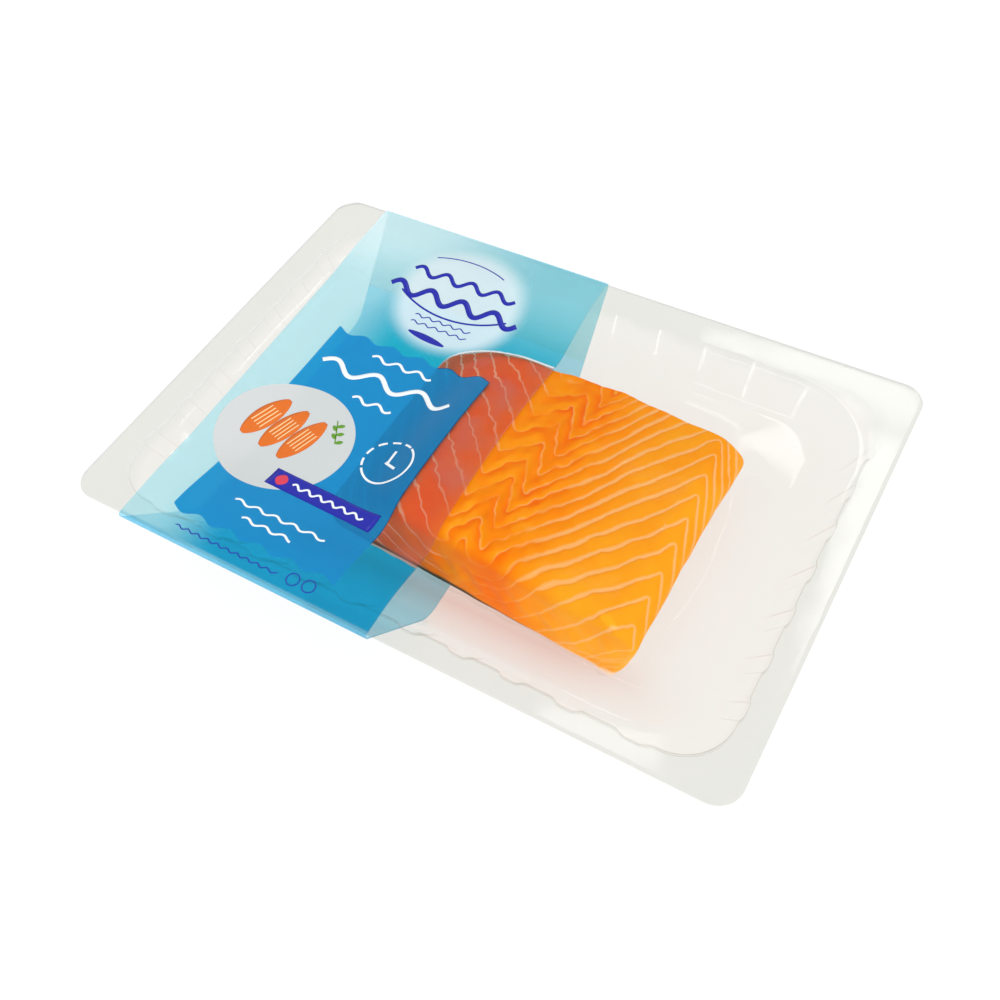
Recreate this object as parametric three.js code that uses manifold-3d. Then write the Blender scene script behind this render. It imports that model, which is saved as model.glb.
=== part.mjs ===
// A thick salmon fillet sealed in its retail pack, in millimetres, +Z up.
//
// Four pieces lie one in another. The fillet lies on the floor of a clear tray with fluted
// walls. A clear film seals the tray's flange and is drawn down onto the fillet. A printed
// sleeve goes round tray and film at the left. Pieces that touch keep a small clearance.
//
// The origin is the middle of the pack's underside, on the surface that it lies on.
// X runs along the pack's long side and Y towards its back.

import * as THREE from "three";
import { mergeVertices } from "three/addons/utils/BufferGeometryUtils.js";
import Module from "manifold-3d";

const wasm = await Module();
wasm.setup();

// The flange's outer edge, which is the pack's outline in plan
const PACK_LENGTH = 260;
const PACK_WIDTH = 180;
const PACK_CORNER_RADIUS = 9;
const CLEARANCE = 0.3;

// The stack of layers, from the table up
const SLEEVE_THICKNESS = 0.35;
const TRAY_THICKNESS = 0.8;
const FILM_THICKNESS = 0.3;
const TRAY_UNDERSIDE_Z = SLEEVE_THICKNESS + CLEARANCE;
const TRAY_FLOOR_Z = TRAY_UNDERSIDE_Z + TRAY_THICKNESS;
const TRAY_DEPTH = 34.5;
const FLANGE_Z = TRAY_FLOOR_Z + TRAY_DEPTH;
const FILM_UNDERSIDE_Z = FLANGE_Z + CLEARANCE;

// The tray's cavity. Its flange is cut a little off centre. The wall leans in at a steady
// angle and turns into the flat floor
const CAVITY_LENGTH = 240.2;
const CAVITY_WIDTH = 160.2;
const CAVITY_SHIFT = [0.6, -1.6];
const CAVITY_CORNER_RADIUS = 18;
const FLOOR_CORNER_RADIUS = 13;
const WALL_LEAN_ANGLE = THREE.MathUtils.degToRad(31);
const TURN_RADIUS = 12;
const TURN_STEPS = 3;
const CORNER_STEPS = 5;

// The flutes that stiffen the wall's upper part: short bulges outwards at an even pitch, with
// plain wall between them
const FLUTE_PITCH = 19.1;
const FLUTE_DEPTH = 1.4;
const FLUTE_FULL_TO = 13;
const FLUTE_GONE_AT = 18;
const FLUTE_SHAPE = [[-5, 0], [-2, 1], [2, 1], [5, 0]];
const FLUTE_END_ROOM = 6;
const LONG_SIDE_FLUTES = [0.65, 1.65, 2.65, 3.65, 4.65];
const SHORT_SIDE_FLUTES = [0, 1, 2, 3];

// The fillet in plan, at its widest. Three sides are cuts, and the left one is the thin
// belly end
const FILLET_LEFT = -57;
const FILLET_RIGHT = 80.5;
const FILLET_BACK = 44.8;
const FILLET_BACK_AT_LEFT = 43.8;
const FILLET_BACK_AT_RIGHT = 41.5;
const FILLET_FRONT = -50.8;
const FILLET_FRONT_SKEW = 0.065;
const FILLET_CUT_RADIUS = 4;
const FILLET_BELLY_RADIUS = 10;
const FILLET_PLACES = 84;

// The fillet's height: its crown, how its top falls off to each side, and the belly end
const FILLET_BASE_Z = TRAY_FLOOR_Z + CLEARANCE;
const FILLET_CROWN = 35.3;
const CROWN_X = 15;
const CROWN_Y = -15;
const FALL_TO_BACK = 5.8;
const FALL_TO_FRONT = 1.8;
const FALL_TO_RIGHT = 2.2;
const SHOULDER_X = 69;
const SHOULDER_DROP = 6;
const BELLY_START_X = -12;
const BELLY_TIP_SHARE = 0.12;
const BELLY_CURVE = [1.7, 0.7];

// The fillet's sides: how round each top edge is, and how far the right flank is undercut
const FRONT_EDGE_RADIUS = 4.5;
const BACK_EDGE_RADIUS = 1.2;
const RIGHT_EDGE_RADIUS = 2.5;
const BELLY_EDGE_RADIUS = 2;
const BASE_EDGE_INSET = 0.8;
const FLANK_UNDERCUT = 8;
const UNDERCUT_FROM_X = 62;
const UNDERCUT_CURVE = 1.3;

// Where the fillet's rings lie: up its sides, round its top edge and in over its top
const SIDE_SHARES = [0.06, 0.36, 0.7];
const EDGE_ANGLES = [0, Math.PI / 6, Math.PI / 3];
const TOP_DRAWS = [0.1, 0.17, 0.26, 0.4, 0.56, 0.74, 0.9];

// The film's shape between the flange and the fillet
const FILM_DROOP = 5.6;
const FILM_LEVEL_MARGIN = 8;
const FILM_DROOP_REACH = 34;
const FILM_OVER_FILLET = 1;
const FILM_FALL_SLOPE = 0.4;
const FILM_EDGE_INSET = 1.5;
const FILM_BLEND = 5;
const FILM_STEP = 10;

// The sleeve, whose edges run a little askew over the pack
const SLEEVE_LEFT = -107;
const SLEEVE_RIGHT = 1;
const SLEEVE_SKEW = 0.02;
const SLEEVE_OVER_FILM = 0.6;
const FOLD_RADIUS = 1.3;
const FOLD_INSET = 0.3;
const FOLD_STEPS = 4;
const SLEEVE_TURN_STEPS = 4;

const clamp = THREE.MathUtils.clamp;
const lerp = THREE.MathUtils.lerp;
const smoothstep = THREE.MathUtils.smoothstep;

// A closed mesh from points and triangles, with each corner shared by its faces
function closedGeometry(points, triangles) {
  const geometry = new THREE.BufferGeometry();
  geometry.setAttribute("position", new THREE.Float32BufferAttribute(points.flat(), 3));
  geometry.setIndex(triangles.flat());
  return geometry;
}

// Two triangles for each cell between two closed rings of equal count, facing outwards when
// the second ring follows the first towards the outside
function stitchRings(first, second, count) {
  const triangles = [];
  for (let i = 0; i < count; i += 1) {
    const next = (i + 1) % count;
    triangles.push([first + i, first + next, second + next]);
    triangles.push([first + i, second + next, second + i]);
  }
  return triangles;
}

// A fan that closes a ring round its middle point
function fanRing(middle, ring, count) {
  const triangles = [];
  for (let i = 0; i < count; i += 1) {
    triangles.push([middle, ring + i, ring + ((i + 1) % count)]);
  }
  return triangles;
}

// Triangles turned to face the other way
function flipped(triangles) {
  return triangles.map(([a, b, c]) => [a, c, b]);
}

// The four sides of the tray's outline, anticlockwise from the front one
const SIDES = [
  { along: [1, 0], out: [0, -1], flutes: LONG_SIDE_FLUTES },
  { along: [0, 1], out: [1, 0], flutes: SHORT_SIDE_FLUTES },
  { along: [-1, 0], out: [0, 1], flutes: LONG_SIDE_FLUTES },
  { along: [0, -1], out: [-1, 0], flutes: SHORT_SIDE_FLUTES },
];

// The places round the outline that every ring of the tray shares. A place on a straight
// lies at a flute's edge or crest, or at the straight's end, and one in a corner has its angle
function outlinePlaces() {
  const places = [];
  for (const side of SIDES) {
    const centres = side.flutes.map((pitches) => pitches * FLUTE_PITCH);
    const mirrored = centres.filter((centre) => centre > 0).map((centre) => -centre);
    const ordered = [...mirrored.reverse(), ...centres];
    places.push({ side, end: -1, at: 0, angle: 0, wave: 0 });
    for (const centre of ordered) {
      for (const [offset, wave] of FLUTE_SHAPE) {
        places.push({ side, end: 0, at: centre + offset, angle: 0, wave });
      }
    }
    places.push({ side, end: 1, at: 0, angle: 0, wave: 0 });
    for (let j = 1; j < CORNER_STEPS; j += 1) {
      places.push({ side, end: 1, at: 0, angle: (Math.PI / 2) * (j / CORNER_STEPS), wave: 0 });
    }
  }
  return places;
}

// One place on a rounded rectangle of a given size, pushed outwards by its flute. On a short
// straight the flutes' places are drawn together to fit
function placeOnOutline(place, halfLength, halfWidth, radius, fluteDepth) {
  const { along, out, flutes } = place.side;
  const lies = along[0] !== 0;
  const straight = (lies ? halfLength : halfWidth) - radius;
  const reach = (lies ? halfWidth : halfLength) - radius;
  const room = FLUTE_PITCH * flutes.at(-1) + FLUTE_END_ROOM;
  const at = place.end * straight + place.at * Math.min(1, straight / room);
  const outward = radius + fluteDepth * place.wave;
  return [0, 1].map((axis) => {
    const normal = out[axis] * Math.cos(place.angle) + along[axis] * Math.sin(place.angle);
    return along[axis] * at + out[axis] * reach + normal * outward;
  });
}

// How far in from the rim the straight wall lies at a depth, and where its turn begins
function wallInset(depth) {
  return depth * Math.tan(WALL_LEAN_ANGLE);
}
const TURN_DEPTH = TRAY_DEPTH - TURN_RADIUS * (1 - Math.sin(WALL_LEAN_ANGLE));
const FLOOR_INSET = wallInset(TURN_DEPTH) + TURN_RADIUS * Math.cos(WALL_LEAN_ANGLE);

// The tray's inner face as rings from the floor's edge to the rim: how far each lies in from
// the rim, its height, and how much of the flute's depth it has
function trayProfile() {
  const rings = [];
  for (let i = 0; i <= TURN_STEPS; i += 1) {
    const angle = (Math.PI / 2 - WALL_LEAN_ANGLE) * (i / TURN_STEPS);
    rings.push({
      inset: FLOOR_INSET - TURN_RADIUS * Math.sin(angle),
      z: TRAY_FLOOR_Z + TURN_RADIUS * (1 - Math.cos(angle)),
      flute: 0,
    });
  }
  for (const [depth, flute] of [[FLUTE_GONE_AT, 0], [FLUTE_FULL_TO, 1], [0, 1]]) {
    rings.push({ inset: wallInset(depth), z: FLANGE_Z - depth, flute });
  }
  return rings;
}

// The profile moved out through the tray's thickness, mitred where two stretches meet
function outerProfile(profile) {
  const level = [0, -1];
  return profile.map((ring, i) => {
    const normals = [profile[i - 1], profile[i + 1]].map((other, which) => {
      if (!other) {
        return level;
      }
      const sign = which === 0 ? 1 : -1;
      const run = sign * (other.inset - ring.inset);
      const rise = sign * (ring.z - other.z);
      const length = Math.hypot(run, rise);
      return [rise / length, -run / length];
    });
    const [a, b] = normals;
    const scale = TRAY_THICKNESS / (1 + a[0] * b[0] + a[1] * b[1]);
    return {
      inset: ring.inset - scale * (a[0] + b[0]),
      z: ring.z + scale * (a[1] + b[1]),
      flute: ring.flute,
    };
  });
}

// The clear tray: a thin shell with a flat floor, a large turn, fluted walls and a flange
function trayGeometry() {
  const places = outlinePlaces();
  const count = places.length;
  const points = [];

  const addFace = (profile, floorZ, flangeZ) => {
    const start = points.length;
    points.push([0, 0, floorZ]);
    for (const { inset, z, flute } of profile) {
      for (const place of places) {
        const [x, y] = placeOnOutline(
          place,
          CAVITY_LENGTH / 2 - inset,
          CAVITY_WIDTH / 2 - inset,
          Math.max(FLOOR_CORNER_RADIUS, CAVITY_CORNER_RADIUS - inset / 2),
          FLUTE_DEPTH * flute,
        );
        points.push([x + CAVITY_SHIFT[0], y + CAVITY_SHIFT[1], z]);
      }
    }
    for (const place of places) {
      const [x, y] = placeOnOutline(place, PACK_LENGTH / 2, PACK_WIDTH / 2, PACK_CORNER_RADIUS, 0);
      points.push([x, y, flangeZ]);
    }
    const triangles = fanRing(start, start + 1, count);
    for (let ring = 0; ring < profile.length; ring += 1) {
      const from = start + 1 + ring * count;
      triangles.push(...flipped(stitchRings(from, from + count, count)));
    }
    return { triangles, edge: points.length - count };
  };

  const inner = trayProfile();
  const upper = addFace(inner, TRAY_FLOOR_Z, FLANGE_Z);
  const lower = addFace(outerProfile(inner), TRAY_UNDERSIDE_Z, FLANGE_Z - TRAY_THICKNESS);
  const rim = stitchRings(lower.edge, upper.edge, count);
  return closedGeometry(points, [...upper.triangles, ...flipped(lower.triangles), ...rim]);
}

// How far forward the fillet's front edge lies at x
function filletFrontY(x) {
  return FILLET_FRONT + FILLET_FRONT_SKEW * (FILLET_RIGHT - x);
}

// The fillet's outline in plan, anticlockwise: three cut sides with small round corners, the
// back one bowed, and a belly end with larger ones
function filletOutline() {
  const shape = new THREE.Shape();
  const frontLeft = filletFrontY(FILLET_LEFT);
  const middleX = (FILLET_LEFT + FILLET_RIGHT) / 2;
  const bowX = (middleX + FILLET_RIGHT) / 2;
  const cut = FILLET_CUT_RADIUS;
  const belly = FILLET_BELLY_RADIUS;
  const [right, left] = [FILLET_RIGHT, FILLET_LEFT];
  const [backRight, backLeft] = [FILLET_BACK_AT_RIGHT, FILLET_BACK_AT_LEFT];
  shape.moveTo(right, FILLET_FRONT + cut);
  shape.lineTo(right, backRight - cut);
  shape.quadraticCurveTo(right, backRight, right - cut, backRight);
  shape.quadraticCurveTo(bowX, FILLET_BACK, middleX, FILLET_BACK);
  shape.lineTo(left + belly, backLeft);
  shape.quadraticCurveTo(left, backLeft, left, backLeft - belly);
  shape.lineTo(left, frontLeft + belly);
  shape.quadraticCurveTo(left, frontLeft, left + belly, frontLeft);
  shape.lineTo(right - cut, FILLET_FRONT);
  shape.quadraticCurveTo(right, FILLET_FRONT, right, FILLET_FRONT + cut);
  return shape;
}

// How much of its full height the fillet has at x: all of it over the loin, and less and less
// along the belly end
function bellyShare(x) {
  const along = clamp((BELLY_START_X - x) / (BELLY_START_X - FILLET_LEFT), 0, 1);
  const [start, end] = BELLY_CURVE;
  return BELLY_TIP_SHARE + (1 - BELLY_TIP_SHARE) * (1 - along ** start) ** end;
}

// The height of the fillet's top over its underside at a place in plan
function filletHeight(x, y) {
  const back = FALL_TO_BACK * (Math.max(0, y - CROWN_Y) / (FILLET_BACK - CROWN_Y)) ** 2;
  const front = FALL_TO_FRONT * (Math.max(0, CROWN_Y - y) / (CROWN_Y - FILLET_FRONT)) ** 2;
  const right = FALL_TO_RIGHT * (Math.max(0, x - CROWN_X) / (FILLET_RIGHT - CROWN_X)) ** 2;
  const shoulder = SHOULDER_DROP * (Math.max(0, x - SHOULDER_X) / (FILLET_RIGHT - SHOULDER_X)) ** 2;
  return (FILLET_CROWN - back - front - right - shoulder) * bellyShare(x);
}

// How round the fillet's top edge is where its side faces a given way
function edgeRadius([outX, outY]) {
  const lengthwise = outX > 0 ? RIGHT_EDGE_RADIUS : BELLY_EDGE_RADIUS;
  const crosswise = outY > 0 ? BACK_EDGE_RADIUS : FRONT_EDGE_RADIUS;
  return lengthwise * outX * outX + crosswise * outY * outY;
}

// The salmon fillet: upright cut faces at the front and back, an undercut flank at the right,
// a top that bows up to a crown, and a belly end that thins out to the left
function filletGeometry() {
  const outline = filletOutline().getSpacedPoints(FILLET_PLACES).slice(0, -1);
  const count = outline.length;
  const facing = outline.map((_, i) => {
    const before = outline[(i + count - 1) % count];
    const after = outline[(i + 1) % count];
    const length = before.distanceTo(after);
    return [(after.y - before.y) / length, (before.x - after.x) / length];
  });
  const points = [];

  const addPoint = (x, y, height) => points.push([x, y, FILLET_BASE_Z + height]);

  // A ring in the upright sides, at a share of the height below the rounded top edge
  const addSideRing = (share, baseInset) => {
    outline.forEach(({ x, y }, i) => {
      const undercut = FLANK_UNDERCUT * smoothstep(x, UNDERCUT_FROM_X, FILLET_RIGHT);
      const edge = Math.min(edgeRadius(facing[i]), filletHeight(x, y) / 2);
      const px = x - facing[i][0] * baseInset - undercut * (1 - share) ** UNDERCUT_CURVE;
      addPoint(px, y - facing[i][1] * baseInset, (filletHeight(x, y) - edge) * share);
    });
  };

  // A ring in the rounded top edge, at an angle from its side to its top
  const addEdgeRing = (angle) => {
    outline.forEach(({ x, y }, i) => {
      const edge = Math.min(edgeRadius(facing[i]), filletHeight(x, y) / 2);
      const inset = edge * (1 - Math.cos(angle));
      const px = x - facing[i][0] * inset;
      const py = y - facing[i][1] * inset;
      addPoint(px, py, filletHeight(px, py) - edge * (1 - Math.sin(angle)));
    });
  };

  // A ring in the top, drawn in towards the crown
  const addTopRing = (draw) => {
    for (const { x, y } of outline) {
      const px = lerp(x, CROWN_X, draw);
      const py = lerp(y, CROWN_Y, draw);
      addPoint(px, py, filletHeight(px, py));
    }
  };

  addPoint(CROWN_X, CROWN_Y, 0);
  addSideRing(0, BASE_EDGE_INSET);
  SIDE_SHARES.forEach((share) => addSideRing(share, 0));
  EDGE_ANGLES.forEach(addEdgeRing);
  TOP_DRAWS.forEach(addTopRing);
  addPoint(CROWN_X, CROWN_Y, FILLET_CROWN);

  const rings = (points.length - 2) / count;
  const triangles = flipped(fanRing(0, 1, count));
  for (let ring = 0; ring + 1 < rings; ring += 1) {
    triangles.push(...stitchRings(1 + ring * count, 1 + (ring + 1) * count, count));
  }
  triangles.push(...fanRing(points.length - 1, 1 + (rings - 1) * count, count));
  return closedGeometry(points, triangles);
}

// The larger of two heights, with a soft change from one to the other
function softMax(a, b, blend) {
  const apart = clamp((a - b) / blend, -1, 1);
  return (a + b) / 2 + (blend / 4) * (1 + apart * apart) + Math.max(0, Math.abs(a - b) - blend) / 2;
}

// How far a place lies inside the cavity's rim, or zero outside it
function depthInsideCavity(x, y) {
  const radius = CAVITY_CORNER_RADIUS;
  const dx = Math.abs(x - CAVITY_SHIFT[0]) - (CAVITY_LENGTH / 2 - radius);
  const dy = Math.abs(y - CAVITY_SHIFT[1]) - (CAVITY_WIDTH / 2 - radius);
  const outside = Math.hypot(Math.max(dx, 0), Math.max(dy, 0));
  const inside = Math.min(Math.max(dx, dy), 0);
  return Math.max(0, radius - outside - inside);
}

// The film's underside. It is level on the flange, drawn down inside it, and held up where it
// lies on the fillet's top
function filmUnderside(x, y) {
  const inside = depthInsideCavity(x, y);
  const drawn = FILM_UNDERSIDE_Z - FILM_DROOP * smoothstep(inside, FILM_LEVEL_MARGIN, FILM_DROOP_REACH);
  const nearX = clamp(x, FILLET_LEFT, SHOULDER_X);
  const nearY = clamp(y, filletFrontY(nearX) + FILM_EDGE_INSET, FILLET_BACK - FILM_EDGE_INSET);
  const away = Math.hypot(x - nearX, y - nearY);
  const laid = FILLET_BASE_Z + filletHeight(nearX, nearY) + FILM_OVER_FILLET;
  return softMax(drawn, laid - FILM_FALL_SLOPE * away, FILM_BLEND);
}

// The lines of the film's grid, symmetric about the middle
function gridLines(length, step) {
  const cells = Math.round(length / step);
  return Array.from({ length: cells + 1 }, (_, i) => length * (i / cells - 0.5));
}

// A thin sheet over a grid, closed at its edge
function sheetGeometry(xLines, yLines, undersideAt, thickness) {
  const columns = xLines.length;
  const rows = yLines.length;
  const points = [];
  for (const lift of [0, thickness]) {
    for (const y of yLines) {
      for (const x of xLines) {
        points.push([x, y, undersideAt(x, y) + lift]);
      }
    }
  }
  const layer = columns * rows;
  const triangles = [];
  for (let row = 0; row + 1 < rows; row += 1) {
    for (let column = 0; column + 1 < columns; column += 1) {
      const a = row * columns + column;
      const b = a + 1;
      const c = b + columns;
      const d = a + columns;
      triangles.push([a, c, b], [a, d, c]);
      triangles.push([layer + a, layer + b, layer + c], [layer + a, layer + c, layer + d]);
    }
  }

  // The grid's edge, anticlockwise from its first corner
  const front = Array.from({ length: columns - 1 }, (_, i) => i);
  const right = Array.from({ length: rows - 1 }, (_, j) => (j + 1) * columns - 1);
  const back = Array.from({ length: columns - 1 }, (_, i) => layer - 1 - i);
  const left = Array.from({ length: rows - 1 }, (_, j) => (rows - 1 - j) * columns);
  const edge = [...front, ...right, ...back, ...left];
  edge.forEach((low, i) => {
    const next = edge[(i + 1) % edge.length];
    triangles.push([low, next, layer + next], [low, layer + next, layer + low]);
  });
  return closedGeometry(points, triangles);
}

// A solid for the library that joins and cuts
function toManifold(geometry) {
  const bare = geometry.clone();
  bare.deleteAttribute("normal");
  bare.deleteAttribute("uv");
  const merged = mergeVertices(bare);
  return new wasm.Manifold(new wasm.Mesh({
    numProp: 3,
    vertProperties: Float32Array.from(merged.attributes.position.array),
    triVerts: Uint32Array.from(merged.index.array),
  }));
}

// The geometry of such a solid
function fromManifold(solid) {
  const mesh = solid.getMesh();
  const geometry = new THREE.BufferGeometry();
  geometry.setAttribute("position", new THREE.BufferAttribute(mesh.vertProperties, 3));
  geometry.setIndex(new THREE.BufferAttribute(mesh.triVerts, 1));
  return geometry;
}

// A rounded rectangle as wide as the pack, standing from below the film to above it
function packOutlineBlock(bottom, top) {
  const outline = outlinePlaces()
    .filter((place) => place.end !== 0)
    .map((place) => placeOnOutline(place, PACK_LENGTH / 2, PACK_WIDTH / 2, PACK_CORNER_RADIUS, 0));
  const shape = new THREE.Shape(outline.map(([x, y]) => new THREE.Vector2(x, y)));
  const block = new THREE.ExtrudeGeometry(shape, { depth: top - bottom, bevelEnabled: false });
  return block.translate(0, 0, bottom);
}

// The sealing film, cut to the flange's outline
function filmGeometry() {
  const sheet = sheetGeometry(
    gridLines(PACK_LENGTH + 2 * FILM_STEP, FILM_STEP),
    gridLines(PACK_WIDTH + 2 * FILM_STEP, FILM_STEP),
    filmUnderside,
    FILM_THICKNESS,
  );
  const block = packOutlineBlock(0, 2 * FLANGE_Z);
  return fromManifold(toManifold(sheet).intersect(toManifold(block)));
}

// The sleeve's inner face at one side of the pack, from the film's top down to the middle of
// the floor, as distances out from the middle and heights. side is 1 at the back, -1 in front
function sleeveSide(side) {
  const foldY = PACK_WIDTH / 2 - FOLD_INSET;
  const foldZ = FILM_UNDERSIDE_Z + FILM_THICKNESS + SLEEVE_OVER_FILM - FOLD_RADIUS;
  const turnRadius = TURN_RADIUS + TRAY_THICKNESS + CLEARANCE;
  const turnY = CAVITY_WIDTH / 2 - FLOOR_INSET + side * CAVITY_SHIFT[1];
  const turnZ = TRAY_FLOOR_Z + TURN_RADIUS;

  // The straight stretch touches both circles, the fold's and the turn's
  const reach = Math.hypot(foldY - turnY, foldZ - turnZ);
  const lean = Math.atan2(foldZ - turnZ, foldY - turnY);
  const touch = lean - Math.acos((turnRadius - FOLD_RADIUS) / reach);

  const points = [];
  for (let i = 0; i <= FOLD_STEPS; i += 1) {
    const angle = lerp(Math.PI / 2, touch, i / FOLD_STEPS);
    points.push([foldY + FOLD_RADIUS * Math.cos(angle), foldZ + FOLD_RADIUS * Math.sin(angle)]);
  }
  for (let i = 0; i <= SLEEVE_TURN_STEPS; i += 1) {
    const angle = lerp(touch, -Math.PI / 2, i / SLEEVE_TURN_STEPS);
    points.push([turnY + turnRadius * Math.cos(angle), turnZ + turnRadius * Math.sin(angle)]);
  }
  return points;
}

// The sleeve's inner face across the pack at x, as points of y and z: over the film from
// front to back, down the back, under the floor and up the front
function sleeveSection(x) {
  const path = gridLines(PACK_WIDTH, FILM_STEP).slice(1, -1).map((y) => (
    [y, filmUnderside(x, y) + FILM_THICKNESS + SLEEVE_OVER_FILM]
  ));
  path.push(...sleeveSide(1));
  path.push(...sleeveSide(-1).map(([out, z]) => [-out, z]).reverse());
  return path;
}

// A section moved outwards by a distance, mitred at each point
function offsetSection(section, distance) {
  const count = section.length;
  return section.map(([y, z], i) => {
    const [y0, z0] = section[(i + count - 1) % count];
    const [y1, z1] = section[(i + 1) % count];
    const before = Math.hypot(y - y0, z - z0);
    const after = Math.hypot(y1 - y, z1 - z);
    const a = [-(z - z0) / before, (y - y0) / before];
    const b = [-(z1 - z) / after, (y1 - y) / after];
    const scale = distance / (1 + a[0] * b[0] + a[1] * b[1]);
    return [y + scale * (a[0] + b[0]), z + scale * (a[1] + b[1])];
  });
}

// The printed sleeve: one band of thin plastic that goes once round the pack
function sleeveGeometry() {
  const filmLines = gridLines(PACK_LENGTH, FILM_STEP);
  const between = filmLines.filter((x) => x > SLEEVE_LEFT && x < SLEEVE_RIGHT - FILM_STEP / 2);
  const columns = [SLEEVE_LEFT, ...between, SLEEVE_RIGHT];
  const points = [];
  let count = 0;
  for (const x of columns) {
    const inner = sleeveSection(x);
    const outer = offsetSection(inner, SLEEVE_THICKNESS);
    count = inner.length;
    for (const [y, z] of [...inner, ...outer]) {
      points.push([x - SLEEVE_SKEW * y, y, z]);
    }
  }
  const columnPoints = 2 * count;
  const last = (columns.length - 1) * columnPoints;
  const triangles = [];
  for (let i = 0; i + 1 < columns.length; i += 1) {
    const here = i * columnPoints;
    const next = here + columnPoints;
    triangles.push(...stitchRings(here, next, count));
    triangles.push(...flipped(stitchRings(here + count, next + count, count)));
  }
  triangles.push(...flipped(stitchRings(0, count, count)));
  triangles.push(...stitchRings(last, last + count, count));
  return closedGeometry(points, triangles);
}

const CLEAR_PLASTIC = {
  color: 0xeeede8, roughness: 0.12, metalness: 0, transparent: true, opacity: 0.35,
};

function makeTray() {
  const tray = new THREE.Mesh(trayGeometry(), new THREE.MeshStandardMaterial(CLEAR_PLASTIC));
  tray.name = "tray";
  return tray;
}

function makeFillet() {
  const flesh = new THREE.MeshStandardMaterial({ color: 0xf98a1e, roughness: 0.35, metalness: 0 });
  const fillet = new THREE.Mesh(filletGeometry(), flesh);
  fillet.name = "fillet";
  return fillet;
}

function makeLidFilm() {
  const film = new THREE.Mesh(filmGeometry(), new THREE.MeshStandardMaterial(CLEAR_PLASTIC));
  film.name = "lid_film";
  return film;
}

function makeSleeve() {
  const print = new THREE.MeshStandardMaterial({
    color: 0x14b8d4, roughness: 0.2, metalness: 0, transparent: true, opacity: 0.8,
  });
  const sleeve = new THREE.Mesh(sleeveGeometry(), print);
  sleeve.name = "sleeve";
  return sleeve;
}

const pack = new THREE.Group();
pack.add(makeTray(), makeFillet(), makeLidFilm(), makeSleeve());

export default pack;
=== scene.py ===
# %% [markdown]
# # A thick salmon fillet in its sealed tray pack
#
# One raw salmon fillet lies in a clear tray. A clear film seals the tray's flange and is drawn
# down onto the fish, and a sleeve of blue printed film goes round the left part. The packed
# model gives the four pieces as plain solids. This script stands finer pieces in their places,
# gives them their finishes, and sets the light and the camera.
#
# The pieces are worked out in millimetres as numpy arrays, and scaled to metres as they go into
# their meshes. The origin is the middle of the pack's underside, X runs along its long side
# towards the clear end, and Y towards its back.

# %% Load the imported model
import bpy
import numpy as np
from mathutils import Matrix, Vector


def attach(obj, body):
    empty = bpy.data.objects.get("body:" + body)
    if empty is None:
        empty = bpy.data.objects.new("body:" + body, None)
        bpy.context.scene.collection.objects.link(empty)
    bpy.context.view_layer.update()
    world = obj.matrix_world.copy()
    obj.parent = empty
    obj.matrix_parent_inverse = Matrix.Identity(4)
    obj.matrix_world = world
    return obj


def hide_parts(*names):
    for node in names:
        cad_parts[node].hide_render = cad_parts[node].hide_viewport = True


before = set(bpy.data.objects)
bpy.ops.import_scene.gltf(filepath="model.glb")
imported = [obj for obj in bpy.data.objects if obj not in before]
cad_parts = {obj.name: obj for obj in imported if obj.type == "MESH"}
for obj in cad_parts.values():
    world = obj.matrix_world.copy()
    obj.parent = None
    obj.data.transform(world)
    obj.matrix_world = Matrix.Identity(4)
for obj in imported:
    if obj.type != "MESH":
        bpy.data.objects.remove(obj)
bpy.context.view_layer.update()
print("CAD nodes", sorted(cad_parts))

# %% The photo's viewpoint
EYE = np.array([149.37, -210.76, 349.12])
print("viewpoint, mm from the origin", EYE.tolist())

# %% [markdown]
# ## Helpers
#
# Every surface here is a grid of points: a function of two parameters, or a profile carried
# along a path. A grid could be made by hand or with modifiers, but an array keeps each shape a
# formula that is easy to read and to change. Thin sheets are closed shells, an upper and a lower
# grid joined at their edge, so that they are solid.

# %% Make a piece from a grid
MM = 0.001


def grid_faces(index):
    """Quads of a grid of point numbers: each cell's corners, along the row and then up."""
    cells = [index[:-1, :-1], index[:-1, 1:], index[1:, 1:], index[1:, :-1]]
    return np.stack(cells, axis=-1).reshape(-1, 4)


def closed_columns(index):
    """The same grid with its first column repeated at the end, so that its rows close."""
    return np.concatenate([index, index[:, :1]], axis=1)


def make_piece(name, points, faces, material, replaced=None):
    """A mesh object at the origin. points are rows of x, y and z in mm, faces lists of corners."""
    mesh = bpy.data.meshes.new(name)
    mesh.from_pydata((points * MM).tolist(), [], faces)
    mesh.shade_smooth()
    mesh.materials.append(material)
    piece = bpy.data.objects.new(name, mesh)
    bpy.context.scene.collection.objects.link(piece)
    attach(piece, "root")
    if replaced:
        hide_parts(replaced)
    size = np.ptp(points, axis=0).round(1).tolist()
    print(name, len(points), "points", len(faces), "faces, size in mm", size)
    return piece


def add_field(piece, name, values):
    """A number for each point of a piece, which its material reads by name."""
    field = piece.data.attributes.new(name, "FLOAT", "POINT")
    field.data.foreach_set("value", np.ascontiguousarray(values, dtype=np.float32))


print("a grid of 3 by 4 points has", len(grid_faces(np.arange(12).reshape(3, 4))), "faces")

# %% Close a thin sheet
def sheet_shell(upper, lower):
    """Points and faces of a closed shell from two grids of the same size, upper above lower."""
    rows, columns = upper.shape[:2]
    top = np.arange(rows * columns).reshape(rows, columns)
    bottom = top + rows * columns
    rim = np.concatenate([top[0, :-1], top[:-1, -1], top[-1, :0:-1], top[:0:-1, 0]])
    belt = np.stack([rim + rows * columns, rim])
    faces = [grid_faces(top), grid_faces(bottom)[:, ::-1], grid_faces(closed_columns(belt))]
    points = np.concatenate([upper.reshape(-1, 3), lower.reshape(-1, 3)])
    return points, np.concatenate(faces).tolist()


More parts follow.
